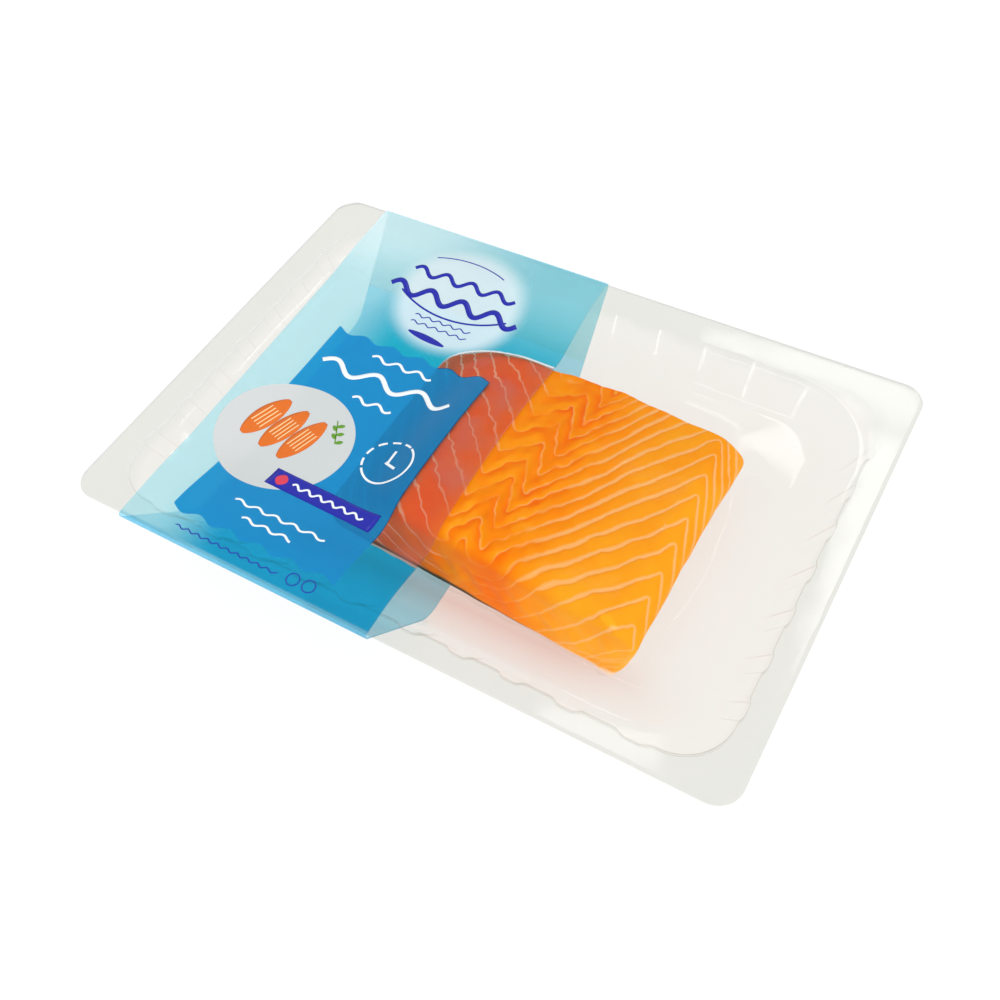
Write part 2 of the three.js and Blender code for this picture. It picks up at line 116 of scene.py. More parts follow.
smallest = np.zeros((2, 2, 3))
print("the smallest closed sheet has", len(sheet_shell(smallest, smallest)[1]), "faces")

# %% Smooth changes and small waves
FULL_TURN = 6.28


def smoothstep(value, start, end):
    """From 0 at start to 1 at end, level at both."""
    share = np.clip((value - start) / (end - start), 0, 1)
    return share * share * (3 - 2 * share)


def soft_max(a, b, blend):
    """The larger of two heights, rounded where they are within blend of each other."""
    apart = np.clip((a - b) / blend, -1, 1)
    beyond = np.maximum(0, np.abs(a - b) - blend) / 2
    return (a + b) / 2 + blend / 4 * (1 + apart * apart) + beyond


def make_waves(seed, count, shortest, longest):
    """Seeded plane waves, as rows of wave numbers along x and y and a start."""
    random = np.random.default_rng(seed)
    turn = random.uniform(0, 2 * np.pi, count)
    number = 2 * np.pi / random.uniform(shortest, longest, count)
    return np.stack([number * np.cos(turn), number * np.sin(turn), random.uniform(0, FULL_TURN, count)])


def ripple(waves, x, y):
    """The sum of the waves' sines at a place, of a size of about 1."""
    angles = np.multiply.outer(x, waves[0]) + np.multiply.outer(y, waves[1]) + waves[2]
    return np.sin(angles).sum(axis=-1) * np.sqrt(2 / waves.shape[1])


print("smoothstep a quarter of the way", smoothstep(0.25, 0, 1))

# %% [markdown]
# ## Materials as small recipes
#
# A material is a tree of nodes. These helpers add a node and join it in one call, so that each
# finish reads as a recipe. Clear plastic is a tinted see-through shader mixed with a glossy one
# by Fresnel's law, not thick refracting glass: the real sheets are too thin to bend light, and
# thin glass rendered as such is slow and noisy.

# %% Node helpers
def paint(red, green, blue):
    """A screen colour of 0 to 255 as the linear colour that a shader takes."""
    screen = np.array([red, green, blue]) / 255
    linear = np.where(screen <= 0.04045, screen / 12.92, ((screen + 0.055) / 1.055) ** 2.4)
    return (*linear.tolist(), 1.0)


def new_material(name):
    """An empty material with an output, and its node tree."""
    material = bpy.data.materials.new(name)
    material.use_nodes = True
    tree = material.node_tree
    tree.nodes.clear()
    tree.nodes.new("ShaderNodeOutputMaterial")
    return material, tree


def put(tree, kind, sockets, **settings):
    """Adds a node. sockets gives each input a number, a colour or another node's output."""
    added = tree.nodes.new(kind)
    for key, value in settings.items():
        setattr(added, key, value)
    for key, value in sockets.items():
        if isinstance(value, bpy.types.NodeSocket):
            tree.links.new(value, added.inputs[key])
        else:
            added.inputs[key].default_value = value
    return added


def finish_material(tree, shader):
    """Joins a shader to the output."""
    tree.links.new(shader, tree.nodes["Material Output"].inputs["Surface"])


def mirror_share(tree, head_on, normal, glancing_most=1.0):
    """Schlick's rule for how much a sheet mirrors: little head on, the most at a glancing angle.
    A sheet's inner side mirrors nothing, or its light would be caught between its two faces."""
    facing = put(tree, "ShaderNodeLayerWeight", {"Blend": 0.5, "Normal": normal}).outputs["Facing"]
    glancing = calc(tree, "POWER", facing, 5.0)
    share = plus(tree, head_on, times(tree, glancing, glancing_most - head_on))
    behind = put(tree, "ShaderNodeNewGeometry", {}).outputs["Backfacing"]
    return times(tree, share, less(tree, 1.0, behind))


def calc(tree, operation, first, second=0.0):
    """One sum of two numbers."""
    return put(tree, "ShaderNodeMath", {0: first, 1: second}, operation=operation).outputs[0]


def plus(tree, first, second):
    """first + second"""
    return calc(tree, "ADD", first, second)


def less(tree, first, second):
    """first - second"""
    return calc(tree, "SUBTRACT", first, second)


def times(tree, first, second):
    """first * second"""
    return calc(tree, "MULTIPLY", first, second)


def step(tree, value, start, end):
    """A smooth change from 0 to 1 as value goes from start to end."""
    sockets = {"Value": value, "From Min": start, "From Max": end}
    return put(tree, "ShaderNodeMapRange", sockets, interpolation_type="SMOOTHSTEP").outputs[0]


def between(tree, share, first, second):
    """A colour between two others."""
    sockets = {0: share, 6: first, 7: second}
    return put(tree, "ShaderNodeMix", sockets, data_type="RGBA").outputs[2]


def field(tree, name):
    """A piece's own numbers, by name."""
    return put(tree, "ShaderNodeAttribute", {}, attribute_name=name).outputs["Fac"]


def noise(tree, scale, detail=2.0):
    """Cloudy noise in the piece's own space, its scale in features per metre."""
    place = put(tree, "ShaderNodeTexCoord", {}).outputs["Object"]
    sockets = {"Vector": place, "Scale": scale, "Detail": detail}
    return put(tree, "ShaderNodeTexNoise", sockets).outputs[0]


def bumped(tree, height, distance, strength=1.0):
    """A bent normal from a height, with its distance in metres."""
    sockets = {"Height": height, "Distance": distance, "Strength": strength}
    return put(tree, "ShaderNodeBump", sockets).outputs[0]


print("half grey on the screen is", round(paint(128, 128, 128)[0], 3), "as light")

# %% [markdown]
# ## The fillet's measures
#
# The fillet is a crowned block: three upright cut faces, of which the right one is undercut, and
# a belly end that thins out. Its outline and height repeat the CAD solid's formulas, so that the
# fine mesh lies where the solid does.

# %% Outline and height
FILLET_LEFT, FILLET_RIGHT = -57.0, 80.5
FILLET_BACK, FILLET_BACK_AT_LEFT, FILLET_BACK_AT_RIGHT = 44.8, 43.8, 41.5
FILLET_FRONT, FRONT_SKEW = -50.8, 0.065
CUT_RADIUS, BELLY_RADIUS = 2.6, 10.0
BASE_Z, CROWN, CROWN_X, CROWN_Y = 1.75, 35.3, 15.0, -15.0
FALL_TO_BACK, FALL_TO_FRONT, FALL_TO_RIGHT = 5.8, 1.8, 2.2
SHOULDER_X, SHOULDER_DROP = 69.0, 6.0
BELLY_START_X, BELLY_TIP_SHARE = -12.0, 0.12
BELLY_SWELL, BELLY_FALL = 1.7, 0.7


def front_y(x):
    """How far forward the fillet's front edge lies, a little askew."""
    return FILLET_FRONT + FRONT_SKEW * (FILLET_RIGHT - x)


def fillet_height(x, y):
    """The crown less a squared fall to each side, times the belly end's share."""
    back = FALL_TO_BACK * (np.maximum(0, y - CROWN_Y) / (FILLET_BACK - CROWN_Y)) ** 2
    front = FALL_TO_FRONT * (np.maximum(0, CROWN_Y - y) / (CROWN_Y - FILLET_FRONT)) ** 2
    right = FALL_TO_RIGHT * (np.maximum(0, x - CROWN_X) / (FILLET_RIGHT - CROWN_X)) ** 2
    shoulder = SHOULDER_DROP * (np.maximum(0, x - SHOULDER_X) / (FILLET_RIGHT - SHOULDER_X)) ** 2
    along = np.clip((BELLY_START_X - x) / (BELLY_START_X - FILLET_LEFT), 0, 1)
    share = BELLY_TIP_SHARE + (1 - BELLY_TIP_SHARE) * (1 - along ** BELLY_SWELL) ** BELLY_FALL
    return (CROWN - back - front - right - shoulder) * share


def curve(start, corner, end, shares):
    """Points on the curve that leaves start towards corner and comes into end from it."""
    t = shares[:, None]
    ends = (1 - t) ** 2 * np.array(start) + t ** 2 * np.array(end)
    return ends + 2 * t * (1 - t) * np.array(corner)


def spaced(parts, count):
    """The joined parts of a path as count + 1 points at even steps along it."""
    path = np.concatenate(parts)
    along = np.concatenate([[0], np.cumsum(np.hypot(*np.diff(path, axis=0).T))])
    places = np.linspace(0, along[-1], count + 1)
    return np.stack([np.interp(places, along, path[:, axis]) for axis in (0, 1)], axis=-1)


print("height over the middle", round(float(fillet_height(CROWN_X, CROWN_Y)), 1), "mm")
print("height at the thin end", round(float(fillet_height(FILLET_LEFT, CROWN_Y)), 1), "mm")

# %% [markdown]
# ## The fat lines
#
# Salmon flesh is made of thin curved sheets of muscle, one behind another like nested cones, with
# pale fat between them. A cut shows each sheet as a zigzag band. All the fat lines together are
# one smooth field of numbers, the line number: it is whole on a fat line and half way between
# two. A wave texture could draw even stripes, but here the zigzag's corners drift and its gaps
# change, so the field is worked out from the places where the real lines turn.

# %% The line number on the top
STATION_X = [-57, -30, -18.5, 4.2, 14.6, 21.8, 30, 40, 50, 60, 70, 75, 80.5, 84]
FIRST_LINE_Y = [50, 11, -4, -27, -12.3, -26.8, -13.5, 0.9, 21.3, 33.7, 46, 48.2, 31.5, 22.4]
GAP_AT_BACK = [10, 10, 9.4, 10.6, 9.8, 11, 9.7, 12, 11, 10.6, 10, 8.2, 8.8, 8.8]
GAP_AT_MIDDLE = [11, 11, 11.6, 11.2, 9.9, 9.9, 10, 10.6, 11.2, 10.8, 11.6, 11.7, 9.4, 9.4]
GAP_AT_FRONT = [10.5, 10.5, 10.6, 10, 9.8, 8, 7.8, 7.8, 9.6, 10.3, 10.3, 10.3, 9.9, 9.9]
TURN_X = [4.2, 14.6, 21.8, 75]
TURN_DRIFT = [0.06, 0.075, 0.09, -0.075]
LAST_TURN_BOW = -0.0008
FIELD_LEFT, FIELD_RIGHT, FIELD_STEP = -90.0, 110.0, 0.25
GAP_BACK_Y, GAP_FRONT_Y = 35.0, 40.0
GAP_LEAST = 6
CROWDED_X, CROWDED_SPREAD, CROWDING = 28, 6, 0.9
LONG_WAVER, SHORT_WAVER, SHORT_WAVER_AT_LEFT, JAG_WAVER = 0.42, 0.12, 0.1, 0.5
long_waves = make_waves(11, 9, 9, 16)
short_waves = make_waves(12, 12, 2.6, 4.5)
jag_waves = make_waves(13, 10, 3.5, 7.5)


def unbent_x(x, y):
    """x with the zigzag's corners drawn straight: each stretch between two is rescaled."""
    turns = [place + drift * y for place, drift in zip(TURN_X, TURN_DRIFT)]
    turns[3] = turns[3] + LAST_TURN_BOW * y * y
    knots = [np.full_like(x, FIELD_LEFT), *turns, np.full_like(x, FIELD_RIGHT)]
    targets = [FIELD_LEFT, *TURN_X, FIELD_RIGHT]
    result = np.array(x, dtype=float)
    for low, high, a, b in zip(knots[:-1], knots[1:], targets[:-1], targets[1:]):
        inside = (x >= low) & (x < high)
        result = np.where(inside, a + (b - a) * (x - low) / (high - low), result)
    return result


def station_table(values, spread):
    """Station values on a fine scale of x, smoothed by a bell curve of that spread in mm."""
    fine_x = np.arange(FIELD_LEFT, FIELD_RIGHT, FIELD_STEP)
    fine = np.interp(fine_x, STATION_X, values)
    ends = [(values[1] - values[0]) / (STATION_X[1] - STATION_X[0]),
            (values[-1] - values[-2]) / (STATION_X[-1] - STATION_X[-2])]
    fine += ends[0] * np.minimum(0, fine_x - STATION_X[0])
    fine += ends[1] * np.maximum(0, fine_x - STATION_X[-1])
    reach = np.arange(-4 * spread, 4 * spread + 0.1, FIELD_STEP)
    bell = np.exp(-(reach / spread) ** 2 / 2)
    padded = np.pad(fine, len(reach) // 2, mode="reflect", reflect_type="odd")
    return fine_x, np.convolve(padded, bell / bell.sum(), mode="valid")


first_line_table = station_table(FIRST_LINE_Y, 0.5)
gap_tables = [station_table(gaps, 2.0) for gaps in (GAP_AT_BACK, GAP_AT_MIDDLE, GAP_AT_FRONT)]


def smooth_line_number(x, y):
    """Lines per mm, a parabola in y through three gaps, added up from y to the first line."""
    straight = unbent_x(x, y)
    first_y = np.interp(straight, *first_line_table)
    back, middle, front = [1 / np.maximum(GAP_LEAST, np.interp(straight, *table)) for table in gap_tables]
    rise = (back - middle) / GAP_BACK_Y
    fall = (front - middle) / GAP_FRONT_Y
    bow = (rise + fall) / (GAP_BACK_Y + GAP_FRONT_Y)
    slope = rise - GAP_BACK_Y * bow

    def added_up(place):
        return middle * place + slope * place ** 2 / 2 + bow * place ** 3 / 3
    crowded = np.exp(-((x - CROWDED_X) / CROWDED_SPREAD) ** 2) * smoothstep(-y, 40, 51)
    return added_up(first_y) - added_up(y) - CROWDING * crowded


def line_number(x, y):
    """The smooth field, read at a place shifted by small waves, as the real lines waver. They
    are jagged over the muscle in the middle, and half as much at the left."""
    jagged = smoothstep(x, 0, 6) * smoothstep(-x, -40, -24) + 0.55 * smoothstep(-x, -2, 6)
    short = SHORT_WAVER + SHORT_WAVER_AT_LEFT * smoothstep(-x, -4, 2)
    shift = LONG_WAVER * ripple(long_waves, x, y) + short * ripple(short_waves, x, y)
    shift = shift + JAG_WAVER * jagged * ripple(jag_waves, x, y)
    return smooth_line_number(x, y + shift)


print("line number at the back and front", *(line_number(60.0, y).round(2) for y in (40.0, -45.0)))

# %% The line number on the sides
FACE_MIDDLE_X, FACE_LEFT_MIDDLE_X = 17.0, 2.5
ARC_STRETCH, ARC_STRETCH_LEFT = 0.97, 1.05
ARC_LEAN, ARC_LEAN_DEPTH = 0.45, 110
HUMP, HUMP_X, HUMP_SPREAD, HUMP_DEPTH = 1.5, 11, 3.0, 14
RIGHT_SLANT, LEFT_SLANT, BACK_SLANT = 0.8, 1.0, (0.5, 0.3)


def face_line_number(x, depth):
    """On the front face each line goes on down as a nested arc. The place where its arc meets
    the top edge is worked out, to the right or left of the arcs' middle, and the line number
    there is read from the top."""
    across = x - FACE_MIDDLE_X
    lean = ARC_LEAN * smoothstep(x, 22, 50) * depth * (1 - depth / ARC_LEAN_DEPTH)
    right_x = FACE_MIDDLE_X + np.sqrt(across ** 2 + (ARC_STRETCH * depth) ** 2) + lean
    right_x = np.where(across < 0, FACE_MIDDLE_X + ARC_STRETCH * depth, right_x)
    left_across = FACE_LEFT_MIDDLE_X - x
    left_x = FACE_LEFT_MIDDLE_X - np.sqrt(left_across ** 2 + (ARC_STRETCH_LEFT * depth) ** 2)
    left_x = np.where(left_across < 0, FACE_LEFT_MIDDLE_X - ARC_STRETCH_LEFT * depth, left_x)
    right = line_number(right_x, front_y(right_x))
    left = line_number(left_x, front_y(left_x))
    share = np.clip((x - FACE_LEFT_MIDDLE_X) / (FACE_MIDDLE_X - FACE_LEFT_MIDDLE_X), 0, 1)
    hump = HUMP * np.exp(-depth / HUMP_DEPTH) * np.exp(-((x - HUMP_X) / HUMP_SPREAD) ** 2)
    top = line_number(x, front_y(x))
    deep = left + (right - left) * share + hump
    return top + (deep - top) * smoothstep(depth, 0, 4)


def side_line_number(x, y, out_x, out_y, depth):
    """The top's number, plus what each side adds with depth, weighted by how far it faces it."""
    top = line_number(x, y)
    to_right = line_number(x + RIGHT_SLANT * depth, y) - top
    to_left = line_number(x - LEFT_SLANT * depth, y) - top
    to_back = line_number(x + BACK_SLANT[0] * depth, y + BACK_SLANT[1] * depth) - top
    to_front = face_line_number(x, depth) - line_number(x, front_y(x))
    lengthwise = np.where(out_x > 0, to_right, to_left) * out_x ** 2
    crosswise = np.where(out_y > 0, to_back, to_front) * out_y ** 2
    return top + lengthwise + crosswise


print("line number low on the front face", face_line_number(40.0, 30.0).round(2))

# %% [markdown]
# ## The fillet's mesh
#
# The top is one patch between its four edges, so its rows follow the cut sides. Rings carried
# round it make the rounded top edge and the sides, and one flat face closes the underside. The
# relief is real: between two fat lines the flesh swells by a quarter of a millimetre, and over
# the soft middle there are low bumps.

# %% Rings round the fillet
LONG_STEPS, SHORT_STEPS = 274, 190
FRONT_EDGE, BACK_EDGE, RIGHT_EDGE, BELLY_EDGE = 6.0, 1.2, 1.5, 2.0
FRONT_EDGE_AT_CORNER = 1.4
UNDERCUT, UNDERCUT_FROM_X, UNDERCUT_CURVE = 8.0, 62.0, 1.3
BASE_INSET, BASE_ROUND_SHARE = 0.8, 0.05
FIRST_SHARES, SIDE_RINGS, EDGE_RINGS = [0, 0.012, 0.03], 30, 8
SIDE_DENTS, DENT_SLANT = 0.22, 0.4
BACK_WAVER, SIDE_WAVER = 0.45, 0.15
edge_waves = make_waves(21, 7, 12, 34)
face_waves = make_waves(22, 9, 7, 22)
bump_waves = make_waves(23, 16, 5, 12)


def fillet_outline():
    """Four sides between the middles of the corners, each spaced evenly, anticlockwise."""
    first, second = np.linspace(0, 0.5, 12), np.linspace(0.5, 1, 12)
    whole = np.linspace(0, 1, 40)
    left, right, front = FILLET_LEFT, FILLET_RIGHT, FILLET_FRONT
    front_left = front_y(left)
    middle = (left + right) / 2
    corners = {
        "front left": [(left, front_left + BELLY_RADIUS), (left, front_left),
                       (left + BELLY_RADIUS, front_left)],
        "front right": [(right - CUT_RADIUS, front), (right, front), (right, front + CUT_RADIUS)],
        "back right": [(right, FILLET_BACK_AT_RIGHT - CUT_RADIUS), (right, FILLET_BACK_AT_RIGHT),
                       (right - CUT_RADIUS, FILLET_BACK_AT_RIGHT)],
        "back left": [(left + BELLY_RADIUS, FILLET_BACK_AT_LEFT), (left, FILLET_BACK_AT_LEFT),
                      (left, FILLET_BACK_AT_LEFT - BELLY_RADIUS)],
    }
    bow_corner = ((middle + right) / 2, FILLET_BACK)
    bow = curve(corners["back right"][2], bow_corner, (middle, FILLET_BACK), whole)
    sides = [
        ([curve(*corners["front left"], second), curve(*corners["front right"], first)], LONG_STEPS),
        ([curve(*corners["front right"], second), curve(*corners["back right"], first)], SHORT_STEPS),
        ([curve(*corners["back right"], second), bow, curve(*corners["back left"], first)], LONG_STEPS),
        ([curve(*corners["back left"], second), curve(*corners["front left"], first)], SHORT_STEPS),
    ]
    return np.concatenate([spaced(parts, count)[:-1] for parts, count in sides])


outline = fillet_outline()
ahead = np.roll(outline, -1, axis=0) - np.roll(outline, 1, axis=0)
ahead /= np.hypot(*ahead.T)[:, None]
facing = np.stack([ahead[:, 1], -ahead[:, 0]], axis=-1)
waver = ripple(edge_waves, *outline.T) * np.where(facing[:, 1] > 0.5, BACK_WAVER, SIDE_WAVER)
outline = outline + facing * waver[:, None]
lengthwise = np.where(facing[:, 0] > 0, RIGHT_EDGE, BELLY_EDGE) * facing[:, 0] ** 2
front_edge = FRONT_EDGE + (FRONT_EDGE_AT_CORNER - FRONT_EDGE) * smoothstep(outline[:, 0], 56, 78)
crosswise = np.where(facing[:, 1] > 0, BACK_EDGE, front_edge) * facing[:, 1] ** 2
edge = np.minimum(lengthwise + crosswise, fillet_height(*outline.T) / 2)
print("outline", len(outline), "points")
print("top edge's radius from", edge.min().round(2), "to", edge.max().round(2), "mm")

# %% Relief of the flesh
SWELLING, SOFT_SWELLING = 0.12, 0.16
BUMPS, SOFT_BUMPS = 0.04, 0.1


def relief(x, y):
    """Swelling between fat lines, and low bumps over the soft middle, fading at the thin end."""
    soft = smoothstep(x, 2, 8) * smoothstep(-x, -48, -28)
    swelling = (SWELLING + SOFT_SWELLING * soft) * (np.cos(2 * np.pi * line_number(x, y)) * -0.5)
    bumps = (BUMPS + SOFT_BUMPS * soft) * ripple(bump_waves, x, y)
    return (swelling + bumps) * smoothstep(x, FILLET_LEFT, -40)


print("relief at the fillet's middle", relief(CROWN_X, CROWN_Y).round(2), "mm")

# %% The rings' points
side_rows = []
side_depths = []
undercut_foot = UNDERCUT * smoothstep(outline[:, 0], UNDERCUT_FROM_X, FILLET_RIGHT)
slanted = outline[:, 0] + DENT_SLANT * outline[:, 1]
for share in np.concatenate([FIRST_SHARES, np.linspace(0.06, 1, SIDE_RINGS)]):
    base_inset = BASE_INSET * (1 - min(1, share / BASE_ROUND_SHARE)) ** 2
    side_height = (fillet_height(*outline.T) - edge) * share
    dents = SIDE_DENTS * ripple(face_waves, slanted, side_height) * np.sin(np.pi * share)
    place = outline - facing * (base_inset - dents)[:, None]
    place[:, 0] -= undercut_foot * (1 - share) ** UNDERCUT_CURVE
    side_rows.append(np.column_stack([place, BASE_Z + side_height]))
    side_depths.append(fillet_height(*outline.T) - side_height)
for angle in np.linspace(0, np.pi / 2, EDGE_RINGS + 1)[1:]:
    place = outline - facing * (edge * (1 - np.cos(angle)))[:, None]
    drop = edge * (1 - np.sin(angle))
    rise = fillet_height(*place.T) - drop + relief(*place.T) * np.sin(angle) ** 2
    side_rows.append(np.column_stack([place, BASE_Z + rise]))
    side_depths.append(drop)
rings = np.stack(side_rows)
ring_depths = np.stack(side_depths)
print(len(rings), "rings of", len(outline), "points")

# %% The top patch
BULGE_FADE = 6


def patch(ring):
    """The blend of the front and back edges, plus the left and right edges' own bulge, which
    fades within a few steps: all four edges are met, and no corner folds the rows near it."""
    corner = np.cumsum([0, LONG_STEPS, SHORT_STEPS, LONG_STEPS, SHORT_STEPS])
    closed = np.concatenate([ring, ring[:1]])
    front, right, back, left = [closed[a:b + 1] for a, b in zip(corner[:-1], corner[1:])]
    back, left = back[::-1], left[::-1]
    s = np.linspace(0, 1, LONG_STEPS + 1)[None, :, None]
    t = np.linspace(0, 1, SHORT_STEPS + 1)[:, None, None]
    left_bulge = left[:, None] - (1 - t) * front[0] - t * back[0]
    right_bulge = right[:, None] - (1 - t) * front[-1] - t * back[-1]
    blend = (1 - t) * front[None] + t * back[None]
    return blend + (1 - s) ** BULGE_FADE * left_bulge + s ** BULGE_FADE * right_bulge


top = patch(rings[-1][:, :2])
inner = top[1:-1, 1:-1]
inner_z = BASE_Z + fillet_height(inner[..., 0], inner[..., 1]) + relief(inner[..., 0], inner[..., 1])
ring_count = len(outline)
last_ring = (len(rings) - 1) * ring_count
top_index = np.zeros(top.shape[:2], dtype=int)
around = last_ring + np.arange(ring_count)
top_index[0, :-1] = around[:LONG_STEPS]
top_index[:-1, -1] = around[LONG_STEPS:LONG_STEPS + SHORT_STEPS]
top_index[-1, :0:-1] = around[LONG_STEPS + SHORT_STEPS:2 * LONG_STEPS + SHORT_STEPS]
top_index[:0:-1, 0] = around[2 * LONG_STEPS + SHORT_STEPS:]
top_index[1:-1, 1:-1] = len(rings) * ring_count + np.arange(inner_z.size).reshape(inner_z.shape)
ring_index = np.arange(len(rings) * ring_count).reshape(len(rings), ring_count)
fillet_points = np.concatenate([rings.reshape(-1, 3), np.dstack([inner, inner_z]).reshape(-1, 3)])
fillet_faces = np.concatenate([grid_faces(closed_columns(ring_index)), grid_faces(top_index)]).tolist()
fillet_faces.append(ring_index[0][::-1].tolist())
print("fillet", len(fillet_points), "points, its top", fillet_points[:, 2].max().round(1), "mm high")

# %% [markdown]
# ## The fillet's finish
#
# Raw salmon is a moist, faintly translucent orange. The fat lines are paler and change width
# along their way: broad and pale orange over the right, thin and hardly seen in the soft muscle
# of the middle, and cream at the left, under the print. The skin is under the fish, and shows as
# a dark band at the foot of the front face, with a pale lip towards the right; the band's soft
# upper edge is partly painted shade. Shade is painted in the flesh too: the front face is darker
# than the top, a thin dark band runs on one side of each line over the right, and each band over
# the soft muscle is darker on one side of its line than on the other.
# Colour, line width and strength are numbers on the mesh, worked out here, and the shader draws
# each line from the line number, so its edges stay crisp however fine the mesh is.

# %% Numbers on the fillet's mesh
all_x, all_y, all_z = fillet_points.T
ring_x = np.tile(outline[:, 0], len(rings))
ring_y = np.tile(outline[:, 1], len(rings))
sides = len(rings) * ring_count
flat_depth = np.concatenate([ring_depths.ravel(), np.zeros(len(all_x) - sides)])
out_x = np.concatenate([np.tile(facing[:, 0], len(rings)), np.zeros(len(all_x) - sides)])
out_y = np.concatenate([np.tile(facing[:, 1], len(rings)), np.zeros(len(all_x) - sides)])
field_x = np.concatenate([ring_x, all_x[sides:]])
on_edge = np.arange(len(all_x)) >= (len(rings) - EDGE_RINGS) * ring_count
field_x = np.where(on_edge, all_x, field_x)
field_y = np.where(on_edge, all_y, np.concatenate([ring_y, all_y[sides:]]))
numbers = side_line_number(field_x, field_y, out_x, out_y, flat_depth)
print("line numbers from", numbers.min().round(1), "to", numbers.max().round(1))

# %% The lines' width and strength
SLOPE_REACH = 0.2
GAP_RANGE = (1.5, 12)
FACE_GAP = 8.0
SKIN_ELSEWHERE = 0.6


def line_gap(x, y):
    """The distance in mm from one line to the next, from the field's slope."""
    across = 2 * SLOPE_REACH
    along_x = (smooth_line_number(x + SLOPE_REACH, y) - smooth_line_number(x - SLOPE_REACH, y)) / across
    along_y = (smooth_line_number(x, y + SLOPE_REACH) - smooth_line_number(x, y - SLOPE_REACH)) / across
    return np.clip(1 / np.hypot(along_x, along_y), *GAP_RANGE)


WIDTH_X = [-57, -20, 3, 11, 15, 22, 30, 36, 45, 60, 70, 75, 79, 90]
WIDTH = [0.45, 0.45, 0.4, 0.3, 0.34, 0.38, 0.6, 1.05, 1.3, 1.2, 0.9, 0.5, 0.5, 0.55]
STRENGTH = [1, 1, 0.4, 0.14, 0.6, 0.7, 0.5, 0.8, 0.9, 0.95, 0.95, 0.95, 0.95, 0.95]
front_face = np.where(out_y < 0, out_y ** 2, 0) * smoothstep(flat_depth, 1, 5)
straight = unbent_x(field_x, field_y)
widths = np.interp(straight, WIDTH_X, WIDTH)
widths += 0.4 * np.exp(-((field_x - 42) / 13) ** 2) * smoothstep(-field_y, 18, 40) * (1 - front_face)
widths *= 1 + 0.1 * ripple(jag_waves, all_x, all_y) * smoothstep(field_x, 20, 40)
widths *= 1 - 0.35 * front_face
faint = 0.5 * front_face * (1 - smoothstep(field_x, 20, 75))
strengths = np.interp(straight, WIDTH_X, STRENGTH) * (1 - faint)
gaps = line_gap(field_x, field_y)
gaps = gaps + (FACE_GAP - gaps) * front_face
skin_top = 0.7 + 2.3 * (1 - smoothstep(all_x, 2, 32)) + 2.4 * smoothstep(all_x, 58, 76)
skin_top = skin_top + 0.25 * ripple(edge_waves, all_x, all_y)
skin_top = np.where(out_y < -0.5, skin_top, SKIN_ELSEWHERE)
print("lines from", widths.min().round(2), "to", widths.max().round(2), "mm to each side")

# %% The salmon's material
flesh, tree = new_material("salmon_flesh")
frayed = times(tree, less(tree, noise(tree, 420.0, 3.0), 0.5), 0.022)
number = plus(tree, field(tree, "line_number"), frayed)
part = less(tree, calc(tree, "FRACT", plus(tree, number, 0.5)), 0.5)
away = times(tree, calc(tree, "ABSOLUTE", part), field(tree, "line_gap"))
changing = plus(tree, 0.4, times(tree, noise(tree, 110.0), 0.6))
half = times(tree, field(tree, "line_width"), changing)
outside = step(tree, away, times(tree, half, 0.15), plus(tree, half, 0.36))
inside = less(tree, 1.0, outside)
worn = times(tree, step(tree, noise(tree, 150.0), 0.62, 0.40), field(tree, "muscle"))
lasting = less(tree, 1.0, times(tree, worn, 0.7))
line = times(tree, inside, times(tree, field(tree, "line_strength"), lasting))

# %% The flesh's tone
cloud = times(tree, less(tree, noise(tree, 60.0, 3.0), 0.5), 0.6)
# Painted shade: over the soft muscle each band is darker on one side of its fat line and lighter on the
# other, as its relief would be lit
since_line = less(tree, calc(tree, "FRACT", number), 0.5)
painted_shingle_shade = times(tree, field(tree, "shingle_shade"), step(tree, noise(tree, 90.0), 0.3, 0.65))
cloud = plus(tree, cloud, times(tree, since_line, painted_shingle_shade))
fleck = times(tree, less(tree, noise(tree, 230.0), 0.5), field(tree, "mottle"))
place_on_ramp = plus(tree, field(tree, "tone"), plus(tree, cloud, fleck))
tone = put(tree, "ShaderNodeValToRGB", {0: place_on_ramp})
ramp = tone.color_ramp
ramp.elements[0].position = 0.0
ramp.elements[0].color = paint(240, 92, 0)
ramp.elements[1].position = 1.0
ramp.elements[1].color = paint(254, 168, 30)
for position, colour in ((0.3, paint(250, 117, 0)), (0.6, paint(253, 145, 10))):
    ramp.elements.new(position).color = colour
fat = between(tree, field(tree, "cream"), paint(252, 184, 112), paint(255, 236, 216))
flesh_colour = between(tree, line, tone.outputs[0], fat)
# Painted shadow: a thin darker band on one side of each fat line, over the right
past_edge = less(tree, away, half)
line_shadow = less(tree, step(tree, past_edge, -0.25, 0.05), step(tree, past_edge, 0.1, 0.55))
one_side = times(tree, step(tree, part, 0.0, 0.02), field(tree, "line_shadow"))
line_shadow = times(tree, line_shadow, one_side)
flesh_colour = between(tree, line_shadow, flesh_colour, paint(222, 112, 18))
# The dark band at the foot is the skin; its soft fade over 1.9 mm above the skin's edge is partly painted
# shade at the fish's foot
band = step(tree, field(tree, "skin"), -1.9, 0.6)
skin_colour = between(tree, field(tree, "lip"), paint(66, 62, 42), paint(252, 214, 172))
colour = between(tree, band, flesh_colour, skin_colour)
grain = plus(tree, noise(tree, 900.0, 3.0), times(tree, line, 0.5))
shine = bumped(tree, grain, 0.00012, 0.35)
fish = put(tree, "ShaderNodeBsdfPrincipled", {
    "Base Color": colour, "Roughness": 0.45, "IOR": 1.4, "Specular IOR Level": 0.12,
    "Subsurface Weight": 0.12, "Subsurface Radius": (0.9, 0.35, 0.12), "Subsurface Scale": 0.003,
    "Normal": shine})
finish_material(tree, fish.outputs[0])
print("salmon material", len(tree.nodes), "nodes")

